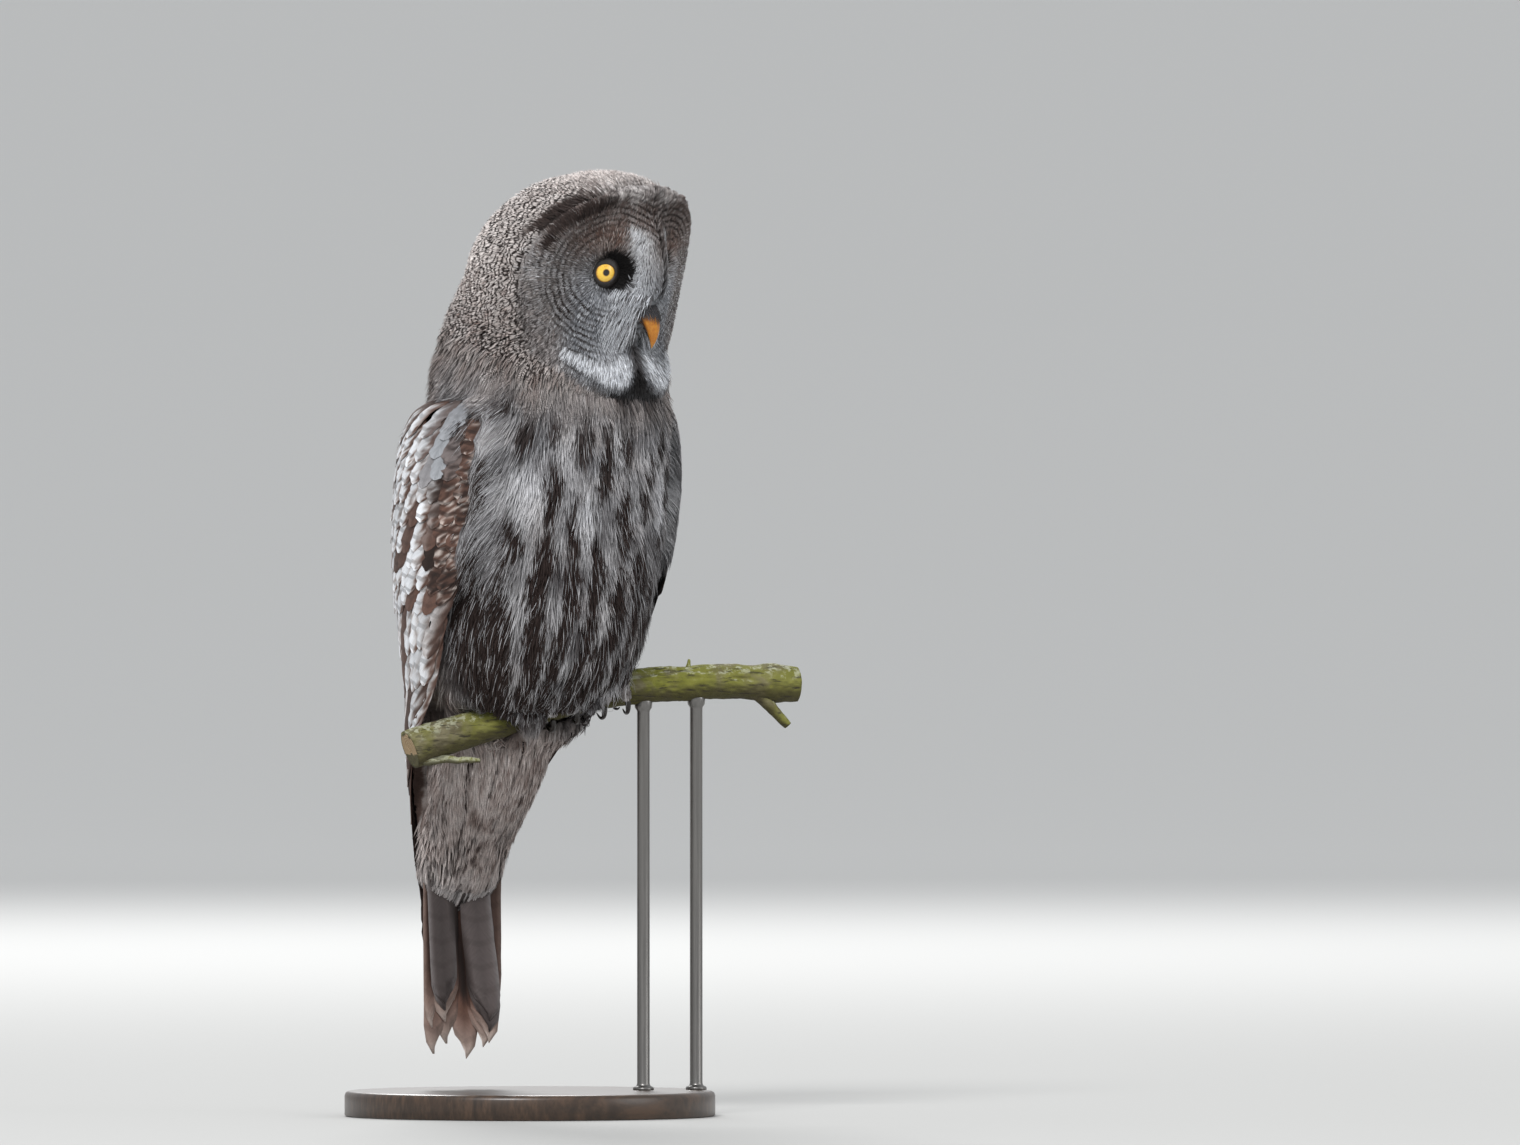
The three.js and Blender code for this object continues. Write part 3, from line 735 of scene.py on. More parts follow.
    # a soft pale haze from the white under the bill up to its side
    haze = bell(away - 20, 13) * bell(rise + 36, 9) * inFront
    pale = np.maximum(pale, haze * 0.42)
    dark = dark * (1 - clear)
    dark = np.maximum(dark, throat * 0.85 * (1 - moustache * 0.5))
    patchSide, patchRise, wide, tall = faceMarks["patch"]
    patch = 1 - smoothStep(0.82, 1.08, np.hypot((away - patchSide) / wide, (rise - patchRise) / tall))
    black = np.maximum(patch * inFront, chin)
    barShare = barShare * (1 - clear) * (1 - throat) * (1 - 0.8 * haze)
    return dark, pale * (1 - black), warm * (1 - clear), black, bars, barShare, np.ones(len(points)), cool


breast = {
    "top": 545, "spread": 0.0031, "column": 0.172, "pitch": 58,
    "halfWidth": 0.080, "halfLength": 42, "middleY": -8,
    "palePatches": [(-0.70, 452, 0.15, 27), (-0.25, 440, 0.07, 20), (0.55, 452, 0.12, 26)],
}


def trunkTurn(points):
    return np.arctan2(points[:, 0], breast["middleY"] - points[:, 1])


# Long dark streaks in columns that spread downwards, each one a little out of line with its neighbours.
def streaks(turn, z, points):
    across = turn / (1 + breast["spread"] * np.clip(breast["top"] - z, 0, 400)) / breast["column"]
    across = across + 0.16 * softNoise(points, 30, 11)
    best = np.zeros(len(z))
    for stepAcross, stepDown in itertools.product((-1, 0, 1), repeat=2):
        column = np.floor(across) + stepAcross
        offset = 0.5 * (column % 2)
        level = z / breast["pitch"] + offset
        row = np.floor(level) + stepDown
        keys = column.astype(np.int64), row.astype(np.int64)
        shift, slide = scattered(*keys, np.full(len(z), 1)), scattered(*keys, np.full(len(z), 2))
        size = 0.75 + 0.5 * scattered(*keys, np.full(len(z), 3))
        away = (across - column - 0.5 - 0.28 * (shift - 0.5)) * breast["column"]
        along = (level - row - 0.5 - 0.3 * (slide - 0.5)) * breast["pitch"]
        lower = smoothStep(450, 340, z)
        reach = breast["halfLength"] * mix(0.72, 1.35, lower)
        wide = breast["halfWidth"] * size * mix(0.9, 1.02, lower)
        best = np.maximum(best, 1 - smoothStep(0.68, 1.06, np.hypot(away / wide, along / reach)))
    return best


def bodyMarks(points):
    z = points[:, 2]
    turn = trunkTurn(points)
    away = np.abs(turn)
    rough, lumps = softNoise(points, 4, 21), softNoise(points, 16, 22)
    front = 1 - smoothStep(1.45, 1.9, away)
    low = smoothStep(292, 268, z)
    dark = streaks(turn, z, points) * mix(0.97, 1.0, smoothStep(520, 430, z))
    dark = np.maximum(dark, 0.32 + 0.42 * lumps + 0.2 * smoothStep(480, 400, z))
    pale = 0.44 + 0.34 * softNoise(points * np.array([1, 1, 0.4]), 9, 23) + 0.15 * rough
    for side, level, wide, tall in breast["palePatches"]:
        patch = 1 - smoothStep(0.5, 1.15, np.hypot((turn - side) / wide, (z - level) / tall))
        dark, pale = dark * (1 - 0.9 * patch), mix(pale, 0.58, patch)
    # the collar is mottled, and the flank has painted shade where the wing hangs over it
    collar = smoothStep(490, 535, z)
    dark = mix(dark, 0.50 + 0.55 * lumps + 0.85 * rough, collar * 0.85)
    pale = mix(pale, 0.52 - 0.7 * rough + 0.2 * lumps, collar * 0.8)
    wingShade = smoothStep(0.86, 1.1, away) * smoothStep(1.6, 1.4, away)
    wingShade = wingShade * smoothStep(425, 375, z) * smoothStep(262, 284, z)
    dark = np.maximum(dark, wingShade * np.where(turn < 0, 1.0, 0.5))
    pale = pale * (1 - 0.6 * wingShade)
    # the back is grey-brown, with a dark middle to each feather
    back = 0.35 + 0.3 * lumps + 0.25 * np.sin(turn * 30 + 2 * lumps)
    dark, pale = mix(back, dark, front), mix(0.22 + 0.2 * rough, pale, front)
    warm = mix(0.55, 0.13, front)
    # under the tail it is beige, with fine dark shaft lines and small ripples
    beneath = np.arctan2(points[:, 0], 110 - points[:, 1])
    shaft = bell(np.sin(beneath * 17 + 0.4 * lumps), 0.14) * (0.55 + 0.6 * smoothStep(-0.3, 0.4, lumps))
    ripple = smoothStep(0.3, 0.7, np.abs(rough) + 0.25 * lumps) * smoothStep(262, 190, z) * 0.85
    dark = mix(dark, np.maximum(shaft, ripple), low)
    pale = mix(pale, 0.36 + 0.16 * smoothStep(205, 165, z) + 0.35 * rough + 0.1 * lumps, low)
    warm = mix(warm, 0.58 - 0.3 * smoothStep(190, 160, z), low)
    nape = (1 - front) * smoothStep(470, 510, z)
    bars = -z / 4.8 + 0.9 * rough + 0.6 * softNoise(points, 7, 24)
    barShare = np.maximum(0.85 * nape, 0.25 * collar)
    cool = 0.42 * front * (1 - low) * (1 + lumps)
    dark, pale = np.clip(dark, 0, 1), np.clip(pale, 0, 1)
    return dark, pale, warm, np.zeros(len(z)), bars, barShare, np.ones(len(z)), np.clip(cool, 0, 1)


# Both sets of marks, passing over into each other below the face disc.
def coatMarks(points):
    rise = toHead(points)[2]
    onHead = smoothStep(-90, -58, rise + 9 * softNoise(points, 13, 31))
    found = [mix(b, h, onHead) for h, b in zip(headMarks(points), bodyMarks(points))]
    return np.stack(found[:4], -1), np.stack(found[4:], -1)


skinMarks, skinFine = coatMarks(skinPlaces)
bodyNodes = [name for name in fleshNodes if not name.startswith("wing")]
skinMarks[~ownedBy(skinPlaces, *bodyNodes)] = (0.45, 0.05, 0.85, 0)  # brown under the wings' feathers
skinFine[:, 2] = 0.62  # it lies in the shade of the plumage
setColours(skinMesh, marks=skinMarks, fine=skinFine)
addPiece("skin", skinMesh, coatLook, fleshNodes)
print("skin is marked")


# Strands: narrow tapering vanes that start under the skin's surface and follow it along the lie of the coat

patchSize = 0.003  # how much of the bake's map each strand or feather has


def growPaths(roots, normals, flow, length, lift, steps, hang=None):
    way = unit(flow - dot(flow, normals) * normals)
    if hang is not None:
        way = unit(mix(way, down, hang[:, None]))
    here = roots
    paths, ups = [roots - 0.7 * normals], [normals]
    for step in range(1, steps + 1):
        share = step / steps
        near, up = onSkin(here + way * (length / steps)[:, None])
        outer = near + up * (lift * share ** 0.75)[:, None]
        if hang is not None:
            free = paths[-1] + unit(mix(way, down, 0.7)) * (length / steps)[:, None]
            outer = mix(outer, free, hang[:, None])
        paths.append(outer)
        ups.append(up)
        way = unit(way - dot(way, up) * up)
        here = near
    return np.stack(paths, 1), np.stack(ups, 1)


# Every strand has one patch on the map, at its root's place on the unwrapped skin.
def growPiece(name, paths, ups, widths, marks, fine, cells, roll, profile):
    count, rows = paths.shape[:2]
    along = unit(np.gradient(paths, axis=1))
    side = unit(np.cross(along, ups))
    side = side * np.cos(roll)[:, None, None] + ups * np.sin(roll)[:, None, None]
    half = (widths[:, None] * np.array(profile)[None, :] / 2)[..., None]
    both = np.stack([paths - side * half, paths + side * half], 2).reshape(count, rows * 2, 3)
    verts = np.concatenate([both[:, :-2], paths[:, -1:]], 1)
    faces = [(2 * k, 2 * k + 1, 2 * k + 3, 2 * k + 2) for k in range(rows - 2)]
    faces.append((2 * rows - 4, 2 * rows - 3, 2 * rows - 2))
    spot = np.array([(x, k / (rows - 1)) for k in range(rows - 1) for x in (0, 1)] + [(0.5, 1)])
    patches = cells[:, None, :] + (spot[None] - 0.5) * patchSize
    spread = np.array([k for k in range(rows - 1) for _ in (0, 1)] + [rows - 1])
    mesh = repeatedMesh(name, verts, faces, patches, marks[:, spread], fine[:, spread])
    print(name, count, "strands,", count * (2 * rows - 3), "triangles")
    addPiece(name, mesh, coatLook)


# Jittered cells of a grid: where each lies from 0 to 1, and its place on the bake's map.
def gridCells(columns, rows, seed):
    column, row = (axis.ravel() for axis in np.meshgrid(np.arange(columns), np.arange(rows)))
    rng = np.random.default_rng(seed)
    x = (column + rng.uniform(0.05, 0.95, len(column))) / columns
    y = (row + rng.uniform(0.05, 0.95, len(row))) / rows
    widest = max(columns, rows)
    return x, y, np.stack([(column + 0.5) / widest, (row + 0.5) / widest], -1)


# Marks for each point of each path. Colours come from the root, and the fine bars from the place itself.
def pathMarks(paths, rng, blur=0.0, shade=0.13, jitter=0.0):
    count, rows = paths.shape[:2]
    seen = paths[:, 0] + rng.normal(0, 1, (count, 3)) * blur
    rootMarks, rootFine = coatMarks(seen)
    marks = np.repeat(rootMarks[:, None], rows, 1)
    fine = np.repeat(rootFine[:, None], rows, 1)
    everywhere = coatMarks(paths.reshape(-1, 3))[1].reshape(count, rows, 4)
    fine[..., 0] = everywhere[..., 0] + rng.normal(0, 1, count)[:, None] * jitter
    # painted shade: darker at the root, where the coat over it would shade it, and each strand a little
    # lighter or darker than its neighbours
    rise = mix(0.5, 1.16, np.linspace(0, 1, rows) ** 0.8)[None, :]
    fine[..., 2] = rise * (1 + rng.normal(0, shade, count))[:, None]
    return marks, fine


headCoat = {
    "columns": 205, "rows": 205, "length": (5.5, 8.0), "width": 0.85, "lift": 3.2,
    "crownColumns": 226, "crownLength": (6.5, 10.0), "crownWidth": 1.15, "crownLift": 5.4,
}


# How the face's short feathers lie: away from each eye, and up or down along the ridge between the eyes.
def faceFlow(side, rise):
    sign = np.where(side < 0, -1.0, 1.0)
    x, y = np.abs(side) - face["eyeSide"], rise - face["eyeUp"]
    far = np.maximum(np.hypot(x, y), 1)
    upDown = np.where(rise > -6, 1.0, -1.0)
    inner = smoothStep(17, 5, np.abs(side))
    across = mix(x / far, 0.30, inner)
    along = mix(y / far, upDown, inner)
    low = smoothStep(-36, -52, rise) * smoothStep(60, 40, np.abs(side))
    return sign * mix(across, 0.25, low), mix(along, -1.0, low)


def growFace():
    for index, (name, sign) in enumerate((("right", -1), ("left", 1))):
        rng = np.random.default_rng(40 + index)
        x, y, cells = gridCells(headCoat["columns"], headCoat["rows"], 50 + index)
        side, rise = sign * (x * 88), mix(-84.0, 88.0, y)
        inside = faceShare(side, rise) < 1.08
        side, rise, cells = side[inside], rise[inside], cells[inside]
        roots, normals, met = castFace(side, rise)
        cells, side, rise = cells[met], side[met], rise[met]
        toEye = np.hypot(np.abs(side) - 30, rise - 16)
        kept = ownedBy(roots, *fleshNodes) & (toEye > 8.5) & (toHead(roots)[1] > faceFront(side, rise) - 16)
        kept &= ~((np.abs(side) < 7) & (rise > -34) & (rise < 0))
        roots, normals, cells, side, rise = (v[kept] for v in (roots, normals, cells, side, rise))
        across, along = faceFlow(side, rise)
        flow = headWay(across, -0.1, along) + rng.normal(0, 0.10, roots.shape)
        length = rng.uniform(*headCoat["length"], len(roots))
        white = nearLine(np.abs(side), rise, faceMarks["moustache"], 0.6)
        length = length * (1 + 0.7 * white) * mix(0.6, 1.0, smoothStep(9, 20, toEye[kept]))
        lift = headCoat["lift"] * rng.uniform(0.5, 1.1, len(roots)) * (1 + 0.7 * white)
        paths, ups = growPaths(roots, normals, flow, length, lift, 3)
        marks, fine = pathMarks(paths, rng, blur=0.7, shade=0.17, jitter=0.10)
        fleck = rng.random(len(roots))[:, None]
        marks[..., 0] = np.where(fleck < 0.14, np.maximum(marks[..., 0], 0.7), marks[..., 0])
        marks[..., 1] = np.where(fleck > 0.88, np.maximum(marks[..., 1], 0.55), marks[..., 1])
        width = headCoat["width"] * rng.uniform(0.75, 1.2, len(roots))
        roll = rng.normal(0, 0.3, len(roots))
        growPiece(f"face_coat_{name}", paths, ups, width, marks, fine, cells, roll, (0.7, 1, 0.8, 0))


# The back of the head is unwrapped from its rear pole, so that no cells crowd together.
def growCrown():
    rng = np.random.default_rng(60)
    x, y, cells = gridCells(headCoat["crownColumns"], headCoat["crownColumns"], 61)
    x, y = 2 * x - 1, 2 * y - 1
    reach = np.hypot(x, y)
    inside = (reach < 0.995) & (reach > 1e-4)
    x, y, cells, reach = x[inside], y[inside], cells[inside], reach[inside]
    polar = 2 * np.arcsin(reach * math.sin(math.radians(64)))
    outward = headWay(x / reach * np.sin(polar), -np.cos(polar), y / reach * np.sin(polar))
    middle = fromHead(0, 12, -4)
    roots, normals, met = castOn(middle + outward * 220, -outward)
    cells = cells[met]
    side, front, rise = toHead(roots)
    onDisc = (faceShare(side, rise) < 0.98) & (front > faceFront(side, rise) - 13)
    low = -92 + 7 * softNoise(roots, 9, 62) + rng.normal(0, 3, len(roots))
    kept = ~onDisc & (rise > low) & ownedBy(roots, "head", "neck")
    roots, normals, cells, rise = roots[kept], normals[kept], cells[kept], rise[kept]
    side, front, _ = toHead(roots)
    beside = smoothStep(1.22, 1.04, faceShare(side, rise)) * smoothStep(-10, 10, rise)
    beside = (beside * smoothStep(-42, -16, front - faceFront(side, rise)))[:, None]
    back = headWay(0, -1, 0) * 0.9 * smoothStep(-70, -30, rise)[:, None]
    flow = back + down * 0.75 * (1 - beside) + 0.5 * beside * headWay(side / 80, 0, rise / 80)
    flow = flow + rng.normal(0, 0.13, roots.shape)
    aboveNape = smoothStep(-76, -50, rise)
    length = rng.uniform(*headCoat["crownLength"], len(roots)) * mix(1.9, 1.0, aboveNape)
    lift = headCoat["crownLift"] * rng.uniform(0.5, 1.2, len(roots)) * mix(1.5, 1.0, aboveNape)
    crest = smoothStep(56, 70, rise) * smoothStep(48, 28, np.abs(side)) * smoothStep(5, 28, front)
    lift = lift * (1 - 0.5 * beside[:, 0] * (1 - crest)) + 4 * crest
    length = length * (1 + 0.35 * crest)
    paths, ups = growPaths(roots, normals, flow, length, lift, 3, 0.6 * smoothStep(-74, -84, rise))
    marks, fine = pathMarks(paths, rng, blur=0.6, shade=0.12, jitter=0.08)
    width = headCoat["crownWidth"] * rng.uniform(0.75, 1.25, len(roots))
    roll = rng.normal(0, 0.35, len(roots))
    growPiece("crown_coat", paths, ups, width, marks, fine, cells, roll, (0.7, 1, 0.8, 0))


growFace()
growCrown()


# Trunk coat: cells go round the upright axis and down it

trunkCoat = {
    "breast_right": {"turn": (-1.95, -0.42), "z": (284, 548), "cells": (180, 200)},
    "breast_middle": {"turn": (-0.42, 0.75), "z": (284, 548), "cells": (160, 186)},
    "breast_left": {"turn": (0.75, 1.95), "z": (284, 548), "cells": (140, 200)},
    "back": {"turn": (1.95, 2 * math.pi - 1.95), "z": (290, 548), "cells": (170, 160)},
}


# Down the body, and out towards the wing the further down and round it is.
def trunkFlow(roots, rng, messy):
    turn = trunkTurn(roots)
    away, z = np.abs(turn), roots[:, 2]
    sideways = roundBody(turn, np.sign(turn)[:, None])
    sweep = 0.28 * np.clip(away, 0, 1.3)
    sweep = sweep + 0.62 * smoothStep(0.62, 1.25, away) * smoothStep(372, 420, z) * smoothStep(530, 495, z)
    sweep = np.where(away > 1.9, -0.1, sweep)
    flow = down + sideways * sweep[:, None]
    return flow + rng.normal(0, messy, roots.shape)


def growTrunk():
    for index, (name, part) in enumerate(trunkCoat.items()):
        rng = np.random.default_rng(80 + index)
        x, y, cells = gridCells(*part["cells"], 90 + index)
        turn, z = mix(*part["turn"], x), mix(*part["z"], y)
        roots, normals, met = castRound(turn, z, breast["middleY"])
        cells = cells[met]
        kept = ownedBy(roots, "neck", "trunk") & (toHead(roots)[2] < -60)
        roots, normals, cells = roots[kept], normals[kept], cells[kept]
        flow = trunkFlow(roots, rng, 0.08)
        # strands of one feather draw together at its tip
        lock, wisp = lockNoise(roots, 11, 101), lockNoise(roots, 4.5, 104)
        flow = flow + 0.26 * lock + 0.18 * wisp
        level = roots[:, 2]
        length = rng.uniform(12, 21, len(roots)) * mix(1.15, 0.8, smoothStep(470, 535, level))
        lift = rng.uniform(3.5, 8.8, len(roots)) + 1.1 * lock[:, 0] + 1.2 * wisp[:, 0]
        hang = smoothStep(306, 290, level) * 0.85
        hem = 290 + 4 * lock[:, 1] + rng.normal(0, 2.5, len(roots)) + 0.16 * np.clip(roots[:, 0], -20, 60)
        length = np.minimum(length, np.maximum(5, 1.1 * (level - hem)))
        stray = rng.random(len(roots)) < 0.07
        length, lift = length * np.where(stray, 1.35, 1), lift + 1.5 * stray
        paths, ups = growPaths(roots, normals, flow, length, lift, 4, hang)
        marks, fine = pathMarks(paths, rng, blur=0.7, shade=0.17)
        # the painted root shade fades out on the top rows, which nothing covers
        top = smoothStep(494, 512, level)[:, None]
        fine[..., 2] = mix(fine[..., 2], 0.95, 0.8 * top)
        # a few hair-like strands are paler than what they cross
        marks[stray, :, 0] *= 0.35
        marks[stray, :, 1] = np.maximum(marks[stray, :, 1], 0.5)
        width = rng.uniform(0.8, 1.35, len(roots)) * np.where(stray, 0.55, 1)
        roll = rng.normal(0, 0.35, len(roots))
        growPiece(f"{name}_coat", paths, ups, width, marks, fine, cells, roll, (0.6, 1, 0.9, 0.6, 0))


growTrunk()

sweptCoat = {"cells": (64, 150), "length": (16, 30), "width": 0.95, "turn": (0.80, 1.36), "z": (388, 536)}


def growSwept():
    for index, (name, sign) in enumerate((("right", -1), ("left", 1))):
        rng = np.random.default_rng(110 + index)
        x, y, cells = gridCells(*sweptCoat["cells"], 112 + index)
        turn, z = sign * mix(*sweptCoat["turn"], x), mix(*sweptCoat["z"], y)
        roots, normals, met = castRound(turn, z, breast["middleY"])
        half, middle, depth, ahead = wingAt(roots[:, 2])[:4]
        angle = np.degrees(np.arctan2((middle - roots[:, 1]) / depth, sign * roots[:, 0] / half))
        ragged = ahead + 1 + 5 * softNoise(roots, 10, 144) + 8 * smoothStep(420, 385, roots[:, 2])
        kept = ~ownedBy(roots, "head") & (angle > ragged)
        roots, normals, cells, turn = roots[kept], normals[kept], cells[met][kept], turn[met][kept]
        sideways = roundBody(turn, sign)
        lock = lockNoise(roots, 9, 141)
        level = roots[:, 2]
        sweep = 0.50 * smoothStep(375, 420, level) + 0.10
        flow = down + sideways * sweep[:, None] + 0.34 * lock + rng.normal(0, 0.08, roots.shape)
        length = rng.uniform(*sweptCoat["length"], len(roots)) * mix(1, 0.7, smoothStep(490, 530, level))
        lift = rng.uniform(4, 9, len(roots)) * (0.55 if sign > 0 else 1)
        paths, ups = growPaths(roots, normals, flow, length, lift, 5)
        # over the wing they keep clear of its feathers
        half, middle, depth, ahead = wingAt(paths[..., 2])[:4]
        x, y = paths[..., 0] / half, (paths[..., 1] - middle) / depth
        angle, out = np.degrees(np.arctan2(-y, sign * x)), np.hypot(x, y)
        clear = 1 + (1.2 + 2.6 * np.linspace(0, 1, 6) + rng.uniform(0, 1.6, len(roots))[:, None]) / half
        clear = mix(1, clear, 0.5 if sign > 0 else 1)
        share = smoothStep(ahead + 11, ahead + 2, angle) * (np.arange(6) > 0)
        push = mix(1, np.maximum(clear / out, 1), share)
        paths[..., 0] *= push
        paths[..., 1] = middle + (paths[..., 1] - middle) * push
        marks, fine = pathMarks(paths, rng, blur=2.2, shade=0.14)
        thin = rng.random(len(roots)) < 0.4
        leastPale = np.where(thin, rng.uniform(0.4, 0.9, len(roots)), 0.1)
        marks[..., 1] = np.maximum(marks[..., 1], leastPale[:, None])
        # the thin strands are paler on both sides; on the left side, which lies in the lamps' shade, the
        # others are painted less dark and all are painted paler, as painted light
        marks[..., 0] *= np.where(thin, 0.4, 0.5 if sign > 0 else 1)[:, None]
        marks[..., 1] += 0.22 * (sign > 0)
        width = sweptCoat["width"] * rng.uniform(0.6, 1.2, len(roots)) * np.where(thin, 0.6, 1)
        roll = rng.normal(0, 0.35, len(roots))
        profile = (0.6, 1, 0.9, 0.7, 0.45, 0)
        growPiece(f"swept_coat_{name}", paths, ups, width, marks, fine, cells, roll, profile)


growSwept()

undertail = {"cells": (150, 165), "z": (161, 290), "middleY": 52, "length": (11, 18), "width": 1.2}


def growUndertail():
    rng = np.random.default_rng(120)
    x, y, cells = gridCells(*undertail["cells"], 121)
    turn, z = mix(-2.3, 2.3, x), mix(*undertail["z"], y)
    roots, normals, met = castRound(turn, z, undertail["middleY"], 200)
    cells = cells[met]
    kept = ownedBy(roots, "trunk", "tail")
    roots, normals, cells = roots[kept], normals[kept], cells[kept]
    lock = lockNoise(roots, 12, 131)
    flow = down + np.array([0, 0.25, 0]) + 0.28 * lock + rng.normal(0, 0.08, roots.shape)
    level = roots[:, 2]
    # its lower end is ragged
    reach = 2 + 11 * softNoise(roots * [1, 1, 0], 5, 134) + 13 * bell(roots[:, 0] - 6, 13)
    reach = reach * smoothStep(190, 168, level)
    length = rng.uniform(*undertail["length"], len(roots)) + np.clip(reach, 0, 20)
    lift = rng.uniform(2, 5, len(roots)) * mix(1, 0.45, smoothStep(200, 168, level))
    loose = 0.5 * smoothStep(0.0, 0.5, softNoise(roots, 7, 135))
    hang = np.maximum(smoothStep(-0.15, -0.6, normals[:, 2]) * 0.8, smoothStep(178, 166, level) * 0.75)
    hang = np.maximum(hang, loose)
    paths, ups = growPaths(roots, normals, flow, length, lift, 3, hang)
    marks, fine = pathMarks(paths, rng, blur=0.35, shade=0.12)
    width = undertail["width"] * rng.uniform(0.7, 1.25, len(roots))
    roll = rng.normal(0, 0.35, len(roots))
    growPiece("undertail_coat", paths, ups, width, marks, fine, cells, roll, (0.7, 1, 0.8, 0))


growUndertail()

# Wings and tail: feathers with a shaft and two webs

vaneRows, vaneColumns = 13, 5
vanePoints = vaneRows * vaneColumns
vaneAcross = np.array([-1, -0.55, 0, 0.55, 1])
vaneAlong = 1 - (1 - np.linspace(0, 1, vaneRows)) ** 1.25
vaneCorners = [vaneColumns * r + c for r in range(vaneRows - 1) for c in range(vaneColumns - 1)]
vaneFaces = [(k, k + 1, k + 1 + vaneColumns, k + vaneColumns) for k in vaneCorners]


# One value for each feather, ready to meet its rows and columns.
def each(values):
    return values[:, None, None]


# Half widths along a vane as a share of its widest, and how far each web's edge is frayed.
def vaneWidths(rng, count, tipLength, frayed=0.09):
    start = smoothStep(-0.15, 0.2, vaneAlong)
    rounded = np.sqrt(np.clip(1 - np.clip((vaneAlong - 1 + tipLength) / tipLength, 0, 1) ** 2, 0, 1))
    shape = np.maximum(start * rounded, 0.08)[None, :, None] * vaneAcross
    return shape * (1 + rng.normal(0, frayed, (count, vaneRows, vaneColumns)))


# Marks of vanes: base has a feather's dark, pale, warm and black, edge is how pale its outer web is,
# and pitch is the distance in mm from bar to bar.
def vaneMarks(rng, lengths, widths, base, edge, pitch, barShare, cool, phase):
    count = len(lengths)
    shape = (count, vaneRows, vaneColumns)
    marks = np.repeat(base[:, None, :], vanePoints, 1).reshape(*shape, 4).copy()
    outer = np.array([0, 0.2, 0.7, 1, 1]) + rng.normal(0, 0.26, shape)
    along = vaneAlong[None, :, None]
    spot = each(edge) * np.clip(outer, 0, 1) * smoothStep(0.10, 0.25, along)
    marks[..., 1] = np.maximum(marks[..., 1], spot)
    marks[..., 0] *= 1 - spot
    marks[..., 2] *= 1 - 0.9 * spot
    fine = np.ones((*shape, 4))
    chevron = 0.22 * np.abs(vaneAcross) + each(phase)
    fine[..., 0] = each(lengths) * along / each(pitch) + chevron
    fine[..., 1] = np.maximum(each(barShare) * (1 - spot), 0.45 * spot)
    # painted shade: each vane is darker towards its root, where the feathers over it would shade it
    tone = each(1 + rng.normal(0, 0.09, count)) * mix(0.72, 1.08, along)
    fine[..., 2] = tone * np.array([0.92, 1, 0.80, 1, 0.96])
    fine[..., 3] = each(cool)
    web = np.zeros((*shape, 4))
    web[..., 0] = each(widths) * vaneAcross
    web[..., 1] = each(lengths) * along
    web[..., 2] = each(np.arange(count)) * 3.7
    return marks, fine, web


def vanePatches(cells):
    columns, rows = vaneColumns - 1, vaneRows - 1
    spots = np.array([(c / columns, r / rows) for r in range(vaneRows) for c in range(vaneColumns)])
    return cells[:, None, :] + (spots[None] - 0.5) * patchSize


def vaneMesh(name, verts, faces, cells, marks, fine, web):
    marks, fine, web = (layer.reshape(-1, vanePoints, 4) for layer in (marks, fine, web))
    print(name, len(cells), "feathers,", len(cells) * 2 * len(faces), "triangles")
    return repeatedMesh(f"{name}_feathers", verts, faces, vanePatches(cells), marks, fine, web=web)


wingCoat = {
    # first and last height, rows, step across, length, width, height of the root and the tip over the shell
    "coverts": ((509, 400), 9, 11.5, 35, 17.0, -0.8, 2.2),
    "greaterCoverts": ((390, 318), 4, 12, 62, 19, -0.8, 1.9),
    "secondaries": ((312, 292), 2, 12, 112, 21, -0.9, 1.2),
    "primaries": ((276, 268), 1, 6.5, 120, 18, -1.0, 0.4),
}


